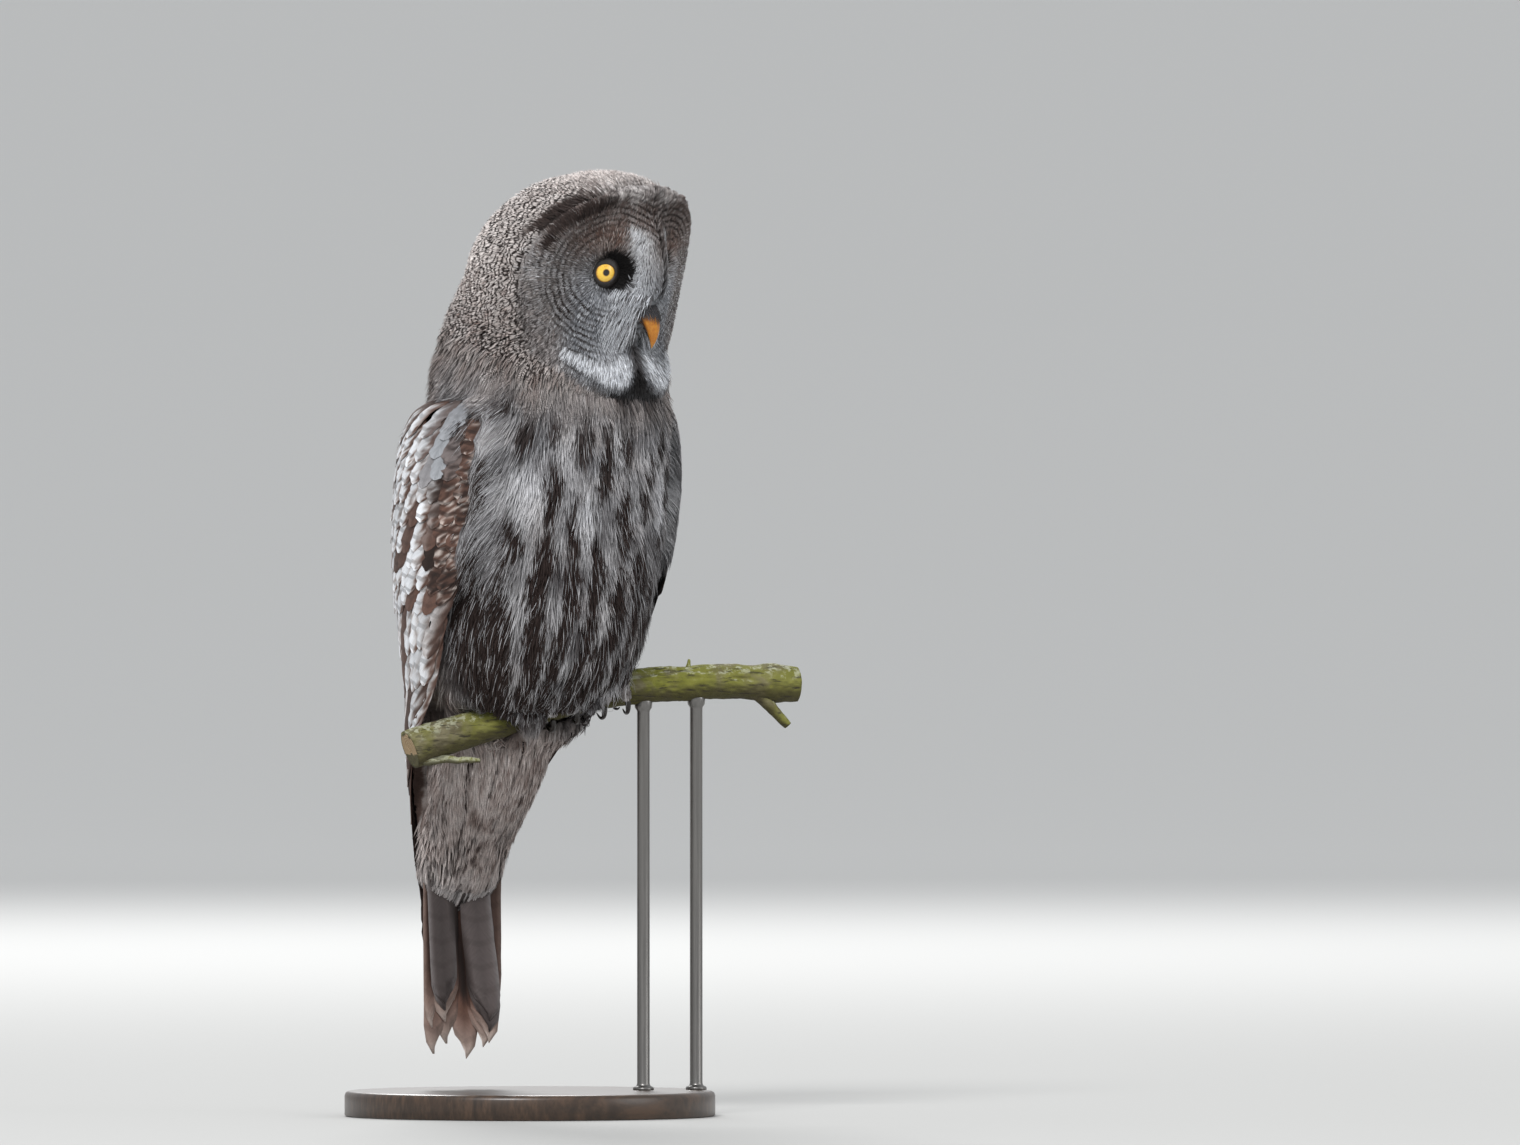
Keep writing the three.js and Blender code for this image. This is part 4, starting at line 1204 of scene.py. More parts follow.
def growWing(name, side):
    rng = np.random.default_rng(200 + side)
    rows = []  # share across, height, length, half width, root and tip height, kind
    for kind, part in enumerate(wingCoat.values()):
        (top, bottom), levels, step, length, width, rootOut, tipOut = part
        for level in range(levels):
            z = mix(top, bottom, level / max(levels - 1, 1))
            half, _, depth, ahead, behind = wingAt(z)[:5]
            reach = math.radians(ahead - behind) * (half + depth) / 2
            places = max(3, round(reach / step))
            for k in range(places + 1):
                share = (k + 0.22 * (level % 2)) / places
                if share <= 1.001:
                    rows.append((share, z, length, width / 2, rootOut, tipOut, kind))
    share, z, length, half, rootOut, tipOut, kind = np.array(rows).T
    count = len(rows)
    share = np.clip(share + rng.normal(0, 0.008, count), 0, 1)
    z = z + rng.normal(0, 1.6, count)
    length = length * rng.uniform(0.92, 1.12, count) * np.where(kind == 0, mix(0.8, 1.15, (510 - z) / 110), 1)
    # long feathers end further down the further back they lie
    endZ = np.where(kind == 3, mix(208, 122, share ** 0.8), mix(248, 172, share))
    length = np.where(kind >= 2, z - endZ, length)
    order = np.argsort(z, kind="stable")  # the lower ones come first, as if laid that way
    rows = np.stack([share, z, length, half, rootOut, tipOut, kind])[:, order]
    share, z, length, half, rootOut, tipOut, kind = rows
    isCovert = kind < 2
    along = vaneAlong[None, :, None]
    widths = vaneWidths(rng, count, 0.34, 0.14) * each(half)
    level = each(z) - each(length) * along + 0 * widths
    # tips drift backwards with the fold of the wing
    drift = each(share) + (each(np.where(isCovert, 0.035, 0.0)) * along)
    depth, ahead, behind = wingAt(np.clip(level, 122, 514))[2:5]
    angle = mix(ahead, behind, np.clip(drift, 0, 1)) - np.degrees(widths / depth)
    angle = np.clip(angle, behind - 1.5, ahead + each(np.where(isCovert, 3.0, 0.5)))
    lie = each(rng.normal(0.38, 0.12, count)) * vaneAcross
    out = mix(each(rootOut), each(tipOut), along ** 0.8) + 0.55 * (1 - vaneAcross ** 2) * (1 - along)
    out = out + lie * along + each(rng.normal(0, 0.16, count))
    verts = wingPlace(side, angle, level, out).reshape(count, vanePoints, 3)
    place = np.degrees(rng.uniform(0, 1, count))
    here = mix(ahead[:, 6, 2], behind[:, 6, 2], share)
    # brown mottled ones lie in front, then a grey shoulder, and white-edged ones towards the back
    further = smoothStep(14, 4, here + rng.normal(0, 3, count))
    shoulder = bell(here - 9, 8) * smoothStep(470, 484, z)
    white = np.where(rng.random(count) < 0.86, 1.0, 0.15) * further * isCovert * (1 - shoulder)
    white = np.where(kind == 1, white * 0.9, white)
    white = white * mix(0.3, 1.0, smoothStep(-52, -24, here + rng.normal(0, 8, count)))
    white = np.maximum(white, np.where(rng.random(count) < 0.4, 0.55, 0) * (kind == 2) * (here < 4))
    base = np.zeros((count, 4))
    base[:, 0] = np.clip(np.where(isCovert, 0.46, 0.55) + rng.normal(0, 0.09, count) - 0.4 * shoulder, 0, 1)
    base[:, 1] = 0.04 + 0.50 * shoulder
    base[:, 2] = np.where(isCovert, 0.80, 0.85) * (1 - shoulder)
    pitch = np.where(kind == 0, rng.uniform(8.5, 12, count), rng.uniform(11, 14, count))
    pitch = np.where(isCovert, pitch, rng.uniform(14, 18, count))
    bars = np.where(here > 12, 0.60, 0.25) * (1 - shoulder) * np.where(isCovert, 1, 0.4)
    marks, fine, web = vaneMarks(rng, length, half, base, white, pitch, bars, 0.9 * shoulder, place)
    # those in front are finely mottled
    speck = rng.random(level.shape) * each(smoothStep(9, 13, here) * (1 - shoulder) * isCovert)
    marks[..., 1] = np.maximum(marks[..., 1], 0.75 * smoothStep(0.45, 1, speck))
    marks[..., 0] += 0.3 * smoothStep(0.4, 0.1, speck) * (speck > 0)
    faces = vaneFaces if side < 0 else [face[::-1] for face in vaneFaces]
    cells = np.stack([share * 0.9 + 0.05, (z - 120) / 400], -1)
    mesh = vaneMesh(name, verts, faces, cells, marks, fine, web)
    addPiece(f"{name}_feathers", mesh, vaneLook)


growWing("wing_right", -1)
growWing("wing_left", 1)


tailCoat = {
    "middle": 86, "arch": 7, "halfWidth": 37, "root": 236,
    # where each feather lies at its root and its tip, half width, lowest point, layer from the back, tone
    "feathers": [
        (3, 9, 12, 39, 0.0, "brown"), (-5, -8, 12, 50, 0.4, "brown"), (-17, -21.5, 12.5, 43, 0.9, "brown"),
        (17, 22, 11, 47, 0.7, "brown"), (-13, -11, 13, 66, 2.2, "brown"), (14, 25.5, 11.5, 50, 2.0, "brown"),
        (-17, -12, 13, 74, 3.2, "grey"), (12, 25, 12, 58, 3.1, "grey"),
        (-20, -13, 13, 79, 4.2, "grey"), (10, 24.5, 12.5, 66, 4.2, "grey"),
        (-25, -24.5, 9, 62, 1.6, "edge"), (27, 27, 8.5, 70, 1.5, "edge"),
    ],
}


def growTail():
    rng = np.random.default_rng(260)
    tones = ["brown", "grey", "edge"]
    rows = [(*numbers, tones.index(tone)) for *numbers, tone in tailCoat["feathers"]]
    x, tipX, half, low, layer, tone = np.array(rows, float).T
    count = len(rows)
    length = tailCoat["root"] - low
    along = vaneAlong[None, :, None]
    widths = vaneWidths(rng, count, 0.16, 0.02) * each(half)
    # the tip is cut slanting: the web nearer the tail's middle ends a little higher
    inner = each(np.sign(tipX)) * vaneAcross
    slant = 9 * smoothStep(0.75, 1.0, along) * np.clip(-inner, 0, 1)
    level = tailCoat["root"] - each(length) * along + slant
    across = mix(each(x), each(tipX), along ** 2) + widths
    y = tailCoat["middle"] - tailCoat["arch"] * (across / tailCoat["halfWidth"]) ** 2
    y = y + 2.6 - 1.05 * each(layer) - 0.9 * (1 - np.abs(vaneAcross)) + 0 * along
    verts = np.stack([across, y, level], -1).reshape(count, vanePoints, 3)
    grey, edged = tone == 1, tone == 2
    base = np.zeros((count, 4))
    base[:, 0] = np.where(grey, 0.58, np.where(edged, 0.56, 0.28)) + rng.normal(0, 0.03, count)
    base[:, 1] = np.where(grey, 0.04, 0.20)
    base[:, 2] = np.where(grey, 0.38, 0.90)
    none, cool = np.zeros(count), np.where(grey, 0.3, 0.0)
    pitch, barShare, phase = np.full(count, 17.0), np.full(count, 0.16), rng.random(count)
    marks, fine, web = vaneMarks(rng, length, half, base, none, pitch, barShare, cool, phase)
    outerEdge = (np.abs(vaneAcross) > 0.9) * smoothStep(0.1, 0.4, along)
    marks[..., 1] = np.maximum(marks[..., 1], 0.34 * outerEdge)
    marks[..., 0] *= 1 - 0.3 * outerEdge
    # the gap between the front feathers is painted black, as painted shadow
    shadowMiddle = mix(7, -3, smoothStep(88, 154, level))
    gapShadow = bell(across - shadowMiddle, 6.5) * smoothStep(66, 84, level) * each(np.where(layer < 2.5, 1, 0.85))
    marks[..., 0] = np.maximum(marks[..., 0], 0.97 * gapShadow)
    marks[..., 1] *= 1 - gapShadow
    # the end of the brown ones turns pinkish with a whitish edge
    tip = smoothStep(0.80, 0.95, along) * each(~grey)
    marks[..., 0] *= 1 - 0.6 * tip
    marks[..., 1] = np.maximum(marks[..., 1], 0.40 * tip + 0.4 * tip * smoothStep(0.97, 1, along))
    cells = np.stack([x / 90 + 0.5, 0.5 + 0.05 * layer], -1)
    mesh = vaneMesh("tail", verts, vaneFaces, cells, marks, fine, web)
    mesh = finished(mesh, "SOLIDIFY", thickness=0.4 * mm, offset=0)
    addPiece("tail_feathers", mesh, vaneLook)


growTail()


# Bent grids: a grid whose points go where place(across, along) says, both running from 0 to 1

def bentGrid(name, columns, rows, place):
    bent = bmesh.new()
    bmesh.ops.create_grid(bent, x_segments=columns, y_segments=rows, size=0.5)
    spots = np.array([tuple(vert.co[:2]) for vert in bent.verts]) + 0.5
    for vert, co in zip(bent.verts, place(spots[:, 0], spots[:, 1]) * mm):
        vert.co = co
    bmesh.ops.remove_doubles(bent, verts=bent.verts, dist=2e-6)
    bmesh.ops.recalc_face_normals(bent, faces=bent.faces)
    mesh = meshFrom(bent, name)
    smoothMesh(mesh)
    return mesh


# Eyes and lids

eye = {
    "side": 27, "front": 53, "rise": 15, "radius": 12, "outward": 28, "upward": 5,
    "iris": 7.5, "pupil": 2.15, "lidDrop": 1.2,
    # how the lid's rim runs from the ball outwards: distance from the eye's axis and height along it
    "lid": [(6.9, 9.3), (7.2, 10.1), (7.9, 10.35), (8.8, 9.9), (10.4, 8.6), (12.8, 6), (15.5, 2)],
}


def eyeTurn(side):
    outward, upward = math.radians(eye["outward"]), math.radians(eye["upward"])
    level = math.cos(upward)
    ahead = headWay(side * math.sin(outward) * level, math.cos(outward) * level, math.sin(upward))
    above = unit(headWay(0, 0, 1) - dot(headWay(0, 0, 1), ahead) * ahead)
    return np.stack([np.cross(above, ahead), above, ahead], 0)


def eyeMaterial():
    material, tree, shader = startMaterial(
        "owlEye", Roughness=0.28, Coat_Weight=1.0, Coat_Roughness=0.02, Coat_IOR=1.4
    )
    x, y, _ = partsOf(tree, attribute(tree, "gaze"))
    flat = put(tree, "ShaderNodeCombineXYZ", {0: x, 1: y}).outputs[0]
    out = put(tree, "ShaderNodeVectorMath", {0: flat}, operation="LENGTH").outputs["Value"]
    spoke = put(tree, "ShaderNodeVectorMath", {0: flat}, operation="NORMALIZE").outputs["Vector"]
    drift = put(tree, "ShaderNodeCombineXYZ", {2: times(tree, out, 0.06)}).outputs[0]
    spoke = put(tree, "ShaderNodeVectorMath", {0: spoke, 1: drift}, operation="ADD").outputs["Vector"]
    fibres = noiseOf(tree, spoke, 9, 4, 0.7)
    mottle = noiseOf(tree, flat, 0.9, 3)
    colour = blended(tree, eased(tree, fibres, 0.3, 0.7), (0.93, 0.50, 0.03), (0.98, 0.70, 0.10))
    # painted shade: the top of the iris is darkened to orange-brown in mottles, as the lid shades it, leaving
    # its lower part brighter
    upper = times(tree, eased(tree, y, 1.0, 5.5), eased(tree, mottle, 0.42, 0.6))
    colour = blended(tree, times(tree, upper, 0.75), colour, (0.62, 0.20, 0.012))
    ring = times(tree, eased(tree, out, 5.8, 7.0), 0.85)
    colour = blended(tree, ring, colour, (0.34, 0.10, 0.008))
    inner = eased(tree, out, eye["pupil"] + 0.9, eye["pupil"] + 0.1)
    colour = blended(tree, times(tree, inner, 0.85), colour, (0.16, 0.055, 0.01))
    hole = eased(tree, out, eye["pupil"] + 0.16, eye["pupil"] - 0.08)
    colour = blended(tree, hole, colour, (0.001, 0.001, 0.001))
    colour = blended(tree, eased(tree, out, eye["iris"] - 0.5, eye["iris"]), colour, (0.004, 0.003, 0.003))
    coloured(tree, shader, colour)
    bumped(tree, shader, fibres, 0.12, 0.0003)
    return material


def lidMaterial():
    material, tree, shader = startMaterial("eyelid", Roughness=0.42)
    creases = noiseOf(tree, objectPlace(tree), 1400, 4)
    coloured(tree, shader, blended(tree, creases, (0.004, 0.003, 0.003), (0.022, 0.017, 0.015)))
    bumped(tree, shader, creases, 0.5, 0.0004)
    return material


def makeEyes():
    eyeLook, lidLook = eyeMaterial(), lidMaterial()
    for name, side in (("left", 1), ("right", -1)):
        turn = eyeTurn(side)
        centre = fromHead(side * eye["side"], eye["front"], eye["rise"])
        ball = bmesh.new()
        bmesh.ops.create_uvsphere(ball, u_segments=96, v_segments=64, radius=eye["radius"] * mm)
        mesh = meshFrom(ball, f"eye_{name}_ball")
        gaze = placesOf(mesh) / mm
        setColours(mesh, gaze=np.concatenate([gaze, np.ones((len(gaze), 1))], -1))
        setPlaces(mesh, (gaze @ turn + centre) * mm)
        smoothMesh(mesh)
        addPiece(f"eye_{name}_ball", mesh, eyeLook, [f"eye_{name}"])

        lid = spunShape([(r * mm, up * mm) for r, up in eye["lid"]], 96)
        bmesh.ops.recalc_face_normals(lid, faces=lid.faces)
        mesh = meshFrom(lid, f"eyelid_{name}")
        spots = placesOf(mesh) / mm
        out = np.hypot(spots[:, 0], spots[:, 1])
        # the upper lid hangs a little over the iris
        hang = smoothStep(11, 7.5, out) * smoothStep(0.1, 1.0, spots[:, 1] / out)
        spots[:, 1] -= eye["lidDrop"] * hang
        ballTop = np.sqrt(np.clip(eye["radius"] ** 2 - spots[:, 0] ** 2 - spots[:, 1] ** 2, 0, None))
        spots[:, 2] = np.where(out < 7.0, ballTop - 0.3, np.maximum(spots[:, 2], (ballTop + 0.4) * (out < 9)))
        setPlaces(mesh, (spots @ turn + centre) * mm)
        if dot(normalsOf(mesh), turn[2][None])[:, 0].mean() < 0:
            mesh.flip_normals()
        smoothMesh(mesh)
        addPiece(f"eyelid_{name}", mesh, lidLook)


makeEyes()


# Bill, with the same bend as the solid's, and the bristles round it

bill = {"front": 74, "rise": -8, "width": 15, "depth": 17, "forward": 17, "drop": 24, "hook": 96}


def billPlace(along, turn, out):
    bend = np.radians(bill["hook"]) * along
    front = bill["front"] + bill["forward"] * np.sin(np.minimum(bend, np.pi / 2))
    rise = bill["rise"] - bill["drop"] * (1 - np.cos(bend)) + 3 * along
    size = 1 - along ** 2.3 * 0.95
    side = (bill["width"] / 2 * size + out) * np.cos(turn)
    thick = (bill["depth"] / 2 * size + out) * np.sin(turn)
    return fromHead(side * mix(1, 0.82, np.clip(np.sin(turn), 0, 1)), front + thick * np.sin(bend),
                    rise + thick * np.cos(bend))


def billMaterial():
    material, tree, shader = startMaterial("billHorn", Roughness=0.32, Coat_Weight=0.25, Coat_Roughness=0.2)
    along, turn, _ = partsOf(tree, attribute(tree, "horn"))
    grain = noiseOf(tree, objectPlace(tree), 420, 4, 0.6)
    colour = blended(tree, eased(tree, grain, 0.35, 0.7), (0.40, 0.130, 0.005), (0.50, 0.205, 0.014))
    colour = blended(tree, eased(tree, along, 0.72, 1.0, 0, 0.7), colour, (0.52, 0.25, 0.05))
    gape = maths(tree, "ABSOLUTE", maths(tree, "SUBTRACT", turn, 0.32))
    colour = blended(tree, eased(tree, gape, 0.16, 0.03, 0, 0.95), colour, (0.045, 0.02, 0.01))
    colour = blended(tree, eased(tree, along, 0.22, 0.05, 0, 0.8), colour, (0.22, 0.10, 0.03))
    coloured(tree, shader, colour)
    bumped(tree, shader, grain, 0.25, 0.0005)
    return material


def makeBill():
    def place(across, along):
        turn = across * 2 * np.pi - np.pi / 2
        spot = billPlace(np.clip(along, 0, 0.985), turn, -0.25)
        tip = billPlace(np.full(len(along), 0.999), turn, 0)
        return np.where(along[:, None] < 0.999, spot, tip)

    mesh = bentGrid("bill_horn", 48, 40, place)
    side, front, rise = toHead(placesOf(mesh) / mm)
    # how far along the bend a point is, and how far below its middle line, for the gape
    front, rise = front - bill["front"], rise - bill["rise"] + bill["drop"]
    bend = np.arctan2(np.maximum(front, 0), np.maximum(rise, 0.1))
    along = np.clip(bend / np.radians(bill["hook"]), 0, 1)
    inner = np.hypot(front / bill["forward"], rise / bill["drop"])
    setColours(mesh, horn=np.stack([along, 1.15 - inner, side / 10, np.ones(len(side))], -1))
    addPiece("bill_horn", mesh, billMaterial(), ["bill"])


makeBill()

bristles = {"over": 900, "beside": 2800, "length": (10, 20), "taper": (1, 1, 0.8, 0.5, 0)}


def bristleMarks(dark, pale, black, shade, cool):
    flat = np.zeros((len(dark), 5))
    marks = np.stack([flat + dark, flat + pale, flat, flat + black], -1)
    return marks, np.stack([flat + 1, flat, flat + shade, flat + cool], -1)


def growBristles():
    rng = np.random.default_rng(300)
    # dark ones lie over the upper half of the bill
    count = bristles["over"]
    turn = rng.uniform(math.radians(-12), math.radians(192), count)
    reach = rng.uniform(0.25, 0.66, count) * mix(0.75, 1.0, np.abs(np.sin(turn)))
    out = rng.uniform(0.4, 1.8, count)
    steps = np.linspace(0, 1, 5)[None, :]
    sweep = turn[:, None] + rng.normal(0, 0.15, count)[:, None] * steps
    paths = billPlace(reach[:, None] * steps, sweep, out[:, None] * (0.3 + 0.7 * steps))
    ups = unit(billPlace(reach[:, None] * steps, sweep, out[:, None] + 3) - paths)
    dark = rng.uniform(0.6, 1.0, count)[:, None]
    pale = np.where(rng.random(count) < 0.3, 0.6, 0.05)[:, None]
    # painted shade: darker towards the root
    marks, fine = bristleMarks(dark, pale, 0.35, mix(0.6, 1.1, steps), 0.8)
    cells = np.stack([0.25 + 0.5 * rng.random(count), 0.75 + 0.2 * rng.random(count)], -1)
    width = rng.uniform(0.35, 0.6, count)
    growPiece("bill_bristles", paths, ups, width, marks, fine, cells, np.zeros(count), bristles["taper"])
    # bluish-white ones fan out beside it
    count = bristles["beside"]
    sign = np.where(rng.random(count) < 0.5, -1.0, 1.0)
    side, rise = rng.uniform(4, 17, count) + np.abs(rng.normal(0, 3.5, count)), rng.uniform(-34, 7, count)
    roots, normals, met = castFace(sign * side, rise)
    sign, side, rise = sign[met], side[met], rise[met]
    keep = ownedBy(roots, *fleshNodes) & (np.hypot(side - 30, rise - 16) > 10)
    roots, normals, sign, side, rise = roots[keep], normals[keep], sign[keep], side[keep], rise[keep]
    count = len(roots)
    fan = rng.normal(0, 0.16, count)
    length = rng.uniform(*bristles["length"], count) * mix(0.6, 1.0, smoothStep(0, -20, rise))
    way = headWay(sign * (0.55 + fan), 0.32, -0.75 + 0.4 * smoothStep(-20, 4, rise))
    way = unit(way + rng.normal(0, 0.06, way.shape))
    bendDown = headWay(0, -0.35, -1)
    share = np.linspace(0, 1, 5)[None, :, None]
    paths = roots[:, None] - 0.5 * normals[:, None] + way[:, None] * length[:, None, None] * share
    paths = paths + bendDown * (0.30 * length[:, None, None] * share ** 2)
    ups = np.repeat(normals[:, None], 5, 1)
    pale = rng.uniform(0.55, 1.0, count)[:, None] * mix(1, 0.85, share[..., 0])
    dark = np.where(rng.random(count) < 0.34, 0.85, 0.0)[:, None]
    # painted shade: darker towards the root
    marks, fine = bristleMarks(dark, pale, 0, mix(0.7, 1.08, share[..., 0]), 0.75)
    cells = np.stack([0.5 + sign * side / 90, rise / 90 + 0.5], -1)
    width = rng.uniform(0.35, 0.75, count)
    growPiece("lores_bristles", paths, ups, width, marks, fine, cells, np.zeros(count), bristles["taper"])


growBristles()


# Perch

perch = {
    "middleY": -12, "turn": -18, "radius": (13.4, 12.4), "from": -98, "to": 194,
    "knots": [(172, 1.6, 12), (-100, 1.2, 14)],
    "stub": {"root": (163, 160, 6), "way": (0.62, -0.3, -0.72), "length": 34, "radius": (6, 3.2)},
}
perchHeight = smoothSlices([
    (-112, 256), (-76, 269), (-46, 277), (-15, 287.6), (14, 296), (45, 302.6), (75, 306), (135, 309),
    (194, 306.8),
])
perchWay = np.array([math.cos(math.radians(perch["turn"])), math.sin(math.radians(perch["turn"])), 0])
perchAcross = np.array([-perchWay[1], perchWay[0], 0])


def perchMiddle(t):
    t = np.asarray(t, float)
    return t[..., None] * perchWay + np.stack([0 * t, 0 * t + perch["middleY"], perchHeight(t)[0]], -1)


# A point round the branch: the turn is measured from its top, forwards.
def roundPerch(t, turn, distance):
    along = unit(perchMiddle(t + 1) - perchMiddle(t - 1))
    above = unit(np.cross(along, perchAcross))
    turn, distance = np.asarray(turn)[..., None], np.asarray(distance)[..., None]
    return perchMiddle(t) + above * np.cos(turn) * distance - perchAcross * np.sin(turn) * distance


def perchRadius(t):
    radius = mix(*perch["radius"], (t - perch["from"]) / (perch["to"] - perch["from"]))
    return radius + sum(rise * bell(t - at, wide) for at, rise, wide in perch["knots"])


def barkMaterial():
    material, tree, shader = startMaterial("mossyBark", Roughness=0.88)
    place = objectPlace(tree)
    turn = (0, 0, math.radians(-perch["turn"]))
    turned = put(tree, "ShaderNodeMapping", {"Vector": place, "Rotation": turn}).outputs[0]
    along = put(tree, "ShaderNodeSeparateXYZ", {0: turned}).outputs[0]
    normal = put(tree, "ShaderNodeNewGeometry").outputs["Normal"]
    up = put(tree, "ShaderNodeSeparateXYZ", {0: normal}).outputs[2]
    fibres = noiseOf(tree, stretched(tree, turned, (60, 480, 480)), 1, 5, 0.62)
    plates = noiseOf(tree, stretched(tree, turned, (55, 130, 130)), 1, 4, 0.6)
    spots = noiseOf(tree, place, 210, 5, 0.65)
    patches = noiseOf(tree, place, 42, 3)
    colour = blended(tree, eased(tree, plates, 0.35, 0.65), (0.095, 0.080, 0.042), (0.225, 0.200, 0.120))
    far = eased(tree, along, 0.085, 0.15)
    colour = blended(tree, times(tree, far, 0.4), colour, (0.190, 0.165, 0.090))
    moss = times(tree, eased(tree, patches, 0.36, 0.56), eased(tree, along, 0.17, 0.05, 0.8, 1))
    moss = times(tree, moss, eased(tree, along, -0.09, 0.01, 0.55, 1))
    cut, rings, pale = partsOf(tree, attribute(tree, "cut"))
    mossy = blended(tree, spots, (0.100, 0.120, 0.006), (0.270, 0.265, 0.020))
    colour = blended(tree, times(tree, moss, 0.88), colour, mossy)
    lichen = times(tree, eased(tree, spots, 0.49, 0.58), eased(tree, up, 0.2, 0.8))
    lichen = maths(tree, "MAXIMUM", lichen, times(tree, pale, eased(tree, spots, 0.36, 0.5)))
    colour = blended(tree, times(tree, lichen, 0.8), colour, (0.43, 0.44, 0.31))
    # painted shade: the branch is darker on its underside
    undersideShade = times(tree, eased(tree, up, 0.25, -0.6), 0.85)
    colour = blended(tree, undersideShade, colour, (0.045, 0.036, 0.010))
    cracks = eased(tree, fibres, 0.47, 0.33)
    colour = blended(tree, times(tree, cracks, 0.85), colour, (0.022, 0.017, 0.010))
    rings = maths(tree, "SINE", times(tree, rings, 42.0))
    wood = blended(tree, eased(tree, rings, -0.4, 0.9), (0.30, 0.20, 0.105), (0.43, 0.32, 0.19))
    colour = blended(tree, eased(tree, cut, 0.45, 0.55), colour, wood)
    coloured(tree, shader, colour)
    relief = maths(tree, "ADD", times(tree, fibres, 0.6), times(tree, spots, 0.5))
    bumped(tree, shader, relief, 0.75, 0.0022)
    return material


# A tapering twig along a few points, with a closed, slightly broken end.
def twigMesh(name, points, radii, sides=18, rough=0.35):
    points, radii = np.array(points, float), np.array(radii, float)
    shares = np.linspace(0, 1, len(points))
    steps = 6 * (len(points) - 1)

    def place(across, along):
        at = np.clip(along * 1.04 - 0.02, 0, 1)
        middle = np.stack([np.interp(at, shares, points[:, k]) for k in range(3)], -1)
        way = unit(np.gradient(points, axis=0).mean(0))
        side = unit(np.cross(way, [0.3, 0.2, 1.0]))
        above = np.cross(side, way)
        radius = np.interp(at, shares, radii) * np.where((along < 0.005) | (along > 0.995), 0, 1)
        turn = 2 * np.pi * across[:, None]
        rim = side * np.cos(turn) + above * np.sin(turn)
        spot = middle + rim * radius[:, None]
        return spot + rim * (rough * softNoise(spot, 4, 401) * (radius > 0))[:, None]
    return bentGrid(name, sides, steps + 4, place)


def makePerch():
    barkLook = barkMaterial()
    ends = 7  # rows that close each end

    def place(across, along):
        rows = 320
        row = along * rows
        share = np.clip((row - ends) / (rows - 2 * ends), 0, 1)
        t = mix(perch["from"], perch["to"], share)
        reach = np.clip(np.minimum(row, rows - row) / ends, 0, 1)
        turn = 2 * np.pi * across
        spot = roundPerch(t, turn, perchRadius(t))
        # plates, fibres and a long peeled strip along the top
        relief = 0.9 * softNoise(spot, 17, 410) + 0.5 * softNoise(spot * [0.5, 1, 1], 5, 411)
        relief = relief + 0.28 * softNoise(spot * [0.6, 1.2, 1.2], 2.2, 412) - 0.45
        strip = bell(turn - 0.75 - 0.15 * np.sin(t / 9), 0.16)
        strip = strip * smoothStep(46, 60, t) * smoothStep(150, 128, t)
        lip = bell(turn - 1.05, 0.14) * smoothStep(50, 62, t) * smoothStep(140, 120, t)
        slit = bell(np.hypot((t - 148) / 9, (turn - 1.35) / 0.16), 1.0)
        relief = relief - 1.5 * strip + 0.9 * lip - 1.6 * slit
        radius = (perchRadius(t) + relief) * np.where(reach < 1, np.sqrt(1 - (1 - reach) ** 6) * reach, 1)
        dish = np.where(reach < 1, 0.8 * softNoise(spot * 0.5 + reach[:, None] * 40, 7, 413), 0)
        t = t + np.where(share < 0.5, -1, 1) * dish * (1 - reach)
        return roundPerch(t, turn, radius)

    mesh = bentGrid("perch_bark", 96, 320, place)
    places = placesOf(mesh) / mm
    t = (places - [0, perch["middleY"], 0]) @ perchWay
    away = np.linalg.norm(places - perchMiddle(t), axis=-1)
    atEnd = (t < perch["from"] + 1.2) | (t > perch["to"] - 1.2)
    isCut = atEnd & (away < 0.86 * perchRadius(t))
    setColours(mesh, cut=np.stack([isCut * 1.0, away / 13, 0 * t, 0 * t + 1], -1))
    addPiece("perch_bark", mesh, barkLook, ["perch_branch"])

    stub = perch["stub"]
    t, turn, distance = stub["root"]
    root = roundPerch(np.array(float(t)), math.radians(turn), distance)
    way = unit(np.array(stub["way"]))
    bend = np.array([0, 0, -1.0])
    path = [root + way * stub["length"] * k / 5 + bend * 0.15 * k for k in range(6)]
    twigs = [("perch_stub", path, np.linspace(6, 3.0, 6) - np.array([0, 0.3, 0.1, 0.4, 0, 0.2]))]
    along, away = np.linspace(-94, -54, 6), np.linspace(11, 24, 6) + [0, 0.6, -0.4, 0.8, 0, 0.3]
    twigs.append(("perch_twig_low", roundPerch(along, np.full(6, 2.7), away), [3.7, 3.3, 3.0, 2.5, 2.2, 1.5]))
    spur = [roundPerch(np.array(112.0), 0.15, 11) + np.array([0.3, 0.2, 1.5]) * k for k in range(5)]
    twigs.append(("perch_spur", spur, [2.2, 1.7, 1.2, 0.9, 0.6]))
    for name, points, radii in twigs:
        mesh = twigMesh(name, points, radii)
        setColours(mesh, cut=np.full((len(mesh.vertices), 4), (0, 0, float(name == "perch_twig_low"), 0)))
        addPiece(name, mesh, barkLook)


makePerch()


# Feathered toes, and the claws

toeCoat = {"cells": (130, 190), "length": (4.5, 8.0), "width": 1.15}


